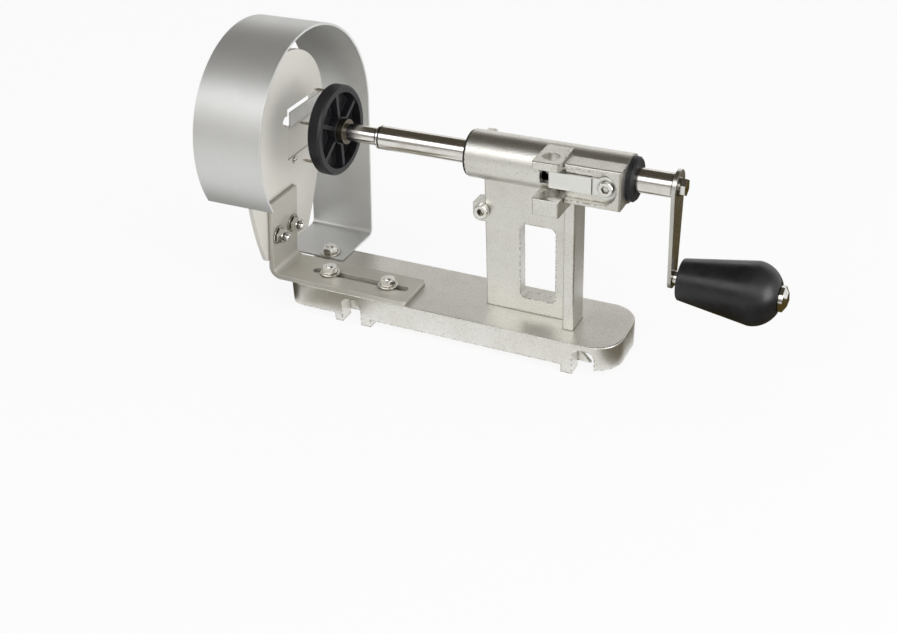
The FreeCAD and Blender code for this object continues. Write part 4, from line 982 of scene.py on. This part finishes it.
@dataclass(frozen=True)
class FootFillet:
    """The hollow fillet between the upright's foot and the base, in millimetres."""

    outline: tuple[Pair, ...] = (
        (0.0, 0.5), (60.6, 0.5), (60.6, -10.6), (68.3, -10.6), (68.3, 9.3), (0.0, 9.3))
    radius: float = 2.6
    steps: int = 5
    sunk: float = 0.2
    inside: float = 0.8
    sharp: float = 40.0

    def build(self, shop: Workshop) -> bpy.types.Object:
        """Make the fillet.

        Args:
            shop: dresses the piece.

        Returns:
            The fillet.
        """
        mesh = bmesh.new()
        rim = [mesh.verts.new(bench(x, y, -self.sunk)) for x, y in self.outline]
        floor = mesh.faces.new(rim)
        grown = bmesh.ops.extrude_face_region(mesh, geom=[floor])
        top = next(item for item in grown["geom"] if isinstance(item, bmesh.types.BMFace))
        bmesh.ops.recalc_face_normals(mesh, faces=mesh.faces)
        bmesh.ops.translate(mesh, vec=(0, 0, self.sunk * MILLI), verts=top.verts)
        self.spread(mesh, self.radius * MILLI)
        back, rise = 0.0, 0.0
        for step in range(1, self.steps + 1):
            angle = math.pi / 2 * step / self.steps
            reach = self.radius * math.sin(angle)
            height = self.radius * (1.0 - math.cos(angle))
            bmesh.ops.inset_region(mesh, faces=[top], thickness=(reach - back) * MILLI)
            bmesh.ops.translate(mesh, vec=(0, 0, (height - rise) * MILLI), verts=top.verts)
            back, rise = reach, height
        bmesh.ops.inset_region(mesh, faces=[top], thickness=self.inside * MILLI)
        piece = keep_mesh("foot_fillet", mesh, self.sharp)
        return shop.finish_piece(piece, HIGHLIT_FILLET, Body.BENCH, "casting")

    @staticmethod
    def spread(mesh: bmesh.types.BMesh, reach: float) -> None:
        """Move the upright walls of a prism outward.

        Args:
            mesh: the prism.
            reach: how far, in metres.
        """
        moves: dict[bmesh.types.BMVert, Vector] = {}
        for face in mesh.faces:
            face.normal_update()
            if abs(face.normal.z) < WALL_TILT:
                for vert in face.verts:
                    moves[vert] = moves.get(vert, Vector()) + face.normal * reach
        for vert, move in moves.items():
            bmesh.ops.translate(mesh, vec=move, verts=[vert])


@dataclass
class Bench:
    """Base, headstock and the pieces fixed to them."""

    castings: tuple[str, ...] = ("base_casting", "headstock_casting")
    bushes: tuple[str, ...] = ("front_bush", "rear_bush")
    screws: tuple[str, ...] = ("side_bar_screw", "lug_screw", "foot_screw_1", "foot_screw_2")

    def build(self, shop: Workshop) -> None:
        """Dress the bench.

        Args:
            shop: dresses nodes and pieces.
        """
        shop.dress(CASTING, *self.castings)
        shop.dress(BUSH, *self.bushes)
        shop.dress(BAR, "side_bar")
        shop.dress(PLATED, *self.screws)
        FootFillet().build(shop)


@dataclass
class Guard:
    """The sheet guard and its fastener."""

    bolt: Pair = (-138.7, 21.0)
    sheet: float = 1.5

    def build(self, shop: Workshop) -> None:
        """Dress the guard and make its bolt.

        Args:
            shop: dresses nodes and pieces.
        """
        shop.dress(SHEET, "guard_band")
        shop.dress(PLATED, "guard_washer", "guard_nut")
        under = Matrix.Translation(bench(*self.bolt, -DECK))
        grip = DECK + self.sheet + WASHER + NUT + BOLT_PAST
        Bolt("guard_bolt_threaded", "guard_bolt", Body.BENCH, under, grip).build(shop, PLATED)


@dataclass
class CutterHead:
    """Leaning plate, blade and bracket with their fasteners."""

    shaft: Triple = (-152.0, 0.0, SHAFT_UP)
    lean: float = 6.0
    plate: float = 3.5
    slot_y: float = -8.6
    slot_x: Pair = (-121.7, -73.8)
    head_y: Pair = (-18.0, 1.6)
    head_up: float = -82.0
    head_nut: float = 5.0
    head_past: float = 3.4

    def leaning(self, ahead: float, across: float, up: float) -> Matrix:
        """Return the place of a point that is given in the plate's own frame.

        Args:
            ahead: millimetres in front of the plate's face.
            across: millimetres across the shaft.
            up: millimetres up the plate from the shaft's line.

        Returns:
            The matrix in metres.
        """
        turn = Matrix.Rotation(math.radians(self.lean), 4, "Y")
        spot = turn @ (Vector((ahead, across, up)) * MILLI)
        return Matrix.Translation(bench(*self.shaft) + spot) @ turn

    def build(self, shop: Workshop) -> None:
        """Dress the head and make its bolts.

        Args:
            shop: dresses nodes and pieces.
        """
        shop.dress(PLATE, "cutter_plate")
        shop.dress(BRACKET, "angle_bracket")
        shop.dress(BLADE, "blade")
        pairs = ("ramp_screw", "head_washer", "head_nut", "slot_washer", "slot_nut")
        shop.dress(PLATED, "blade_screw",
                   *["%s_%d" % (name, number) for name in pairs for number in (1, 2)])
        slot_grip = DECK + self.plate + WASHER + NUT + BOLT_PAST
        head_grip = 2 * self.plate + WASHER + self.head_nut + self.head_past
        for number, x in enumerate(self.slot_x, start=1):
            under = Matrix.Translation(bench(x, self.slot_y, -DECK))
            Bolt("slot_bolt_%d_threaded" % number, "slot_bolt_%d" % number, Body.BENCH, under,
                 slot_grip).build(shop, PLATED)
        for number, y in enumerate(self.head_y, start=1):
            behind = self.leaning(-self.plate, y, self.head_up)
            Bolt("head_bolt_%d_threaded" % number, "head_bolt_%d" % number, Body.HEAD, behind,
                 head_grip, Axis.ALONG).build(shop, PLATED)


@dataclass
class Feed:
    """Sleeve, crank rod, potato wheel and crank."""

    spikes: int = 6

    def build(self, shop: Workshop) -> None:
        """Dress the moving pieces.

        Args:
            shop: dresses nodes and pieces.
        """
        shop.dress(ROD, "slide_sleeve", "crank_rod", "stop_ring")
        shop.dress(REFLECTION_DARKENED_COLLAR, "wheel_collar")
        shop.dress(WHEEL, "pusher_wheel")
        shop.dress(SPIKE, *["wheel_spike_%d" % (number + 1) for number in range(self.spikes)])
        shop.dress(ARM, "crank_arm")
        shop.dress(PLATED, "crank_washer", "crank_bolt", "knob_axle", "knob_spacer")
        shop.dress(KNOB, "knob")


def main() -> None:
    """Build the scene: frame, camera, studio and each sub-assembly in order."""
    logging.basicConfig(level=logging.INFO, format="%(name)s: %(message)s")
    bpy.ops.wm.read_factory_settings(use_empty=True)
    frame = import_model()
    Camera().build()
    Studio().build()
    shop = Workshop(frame)
    for assembly in (Bench(), Guard(), CutterHead(), Feed()):
        assembly.build(shop)
        LOG.info("%s is dressed", type(assembly).__name__)


if __name__ == "__main__":
    main()
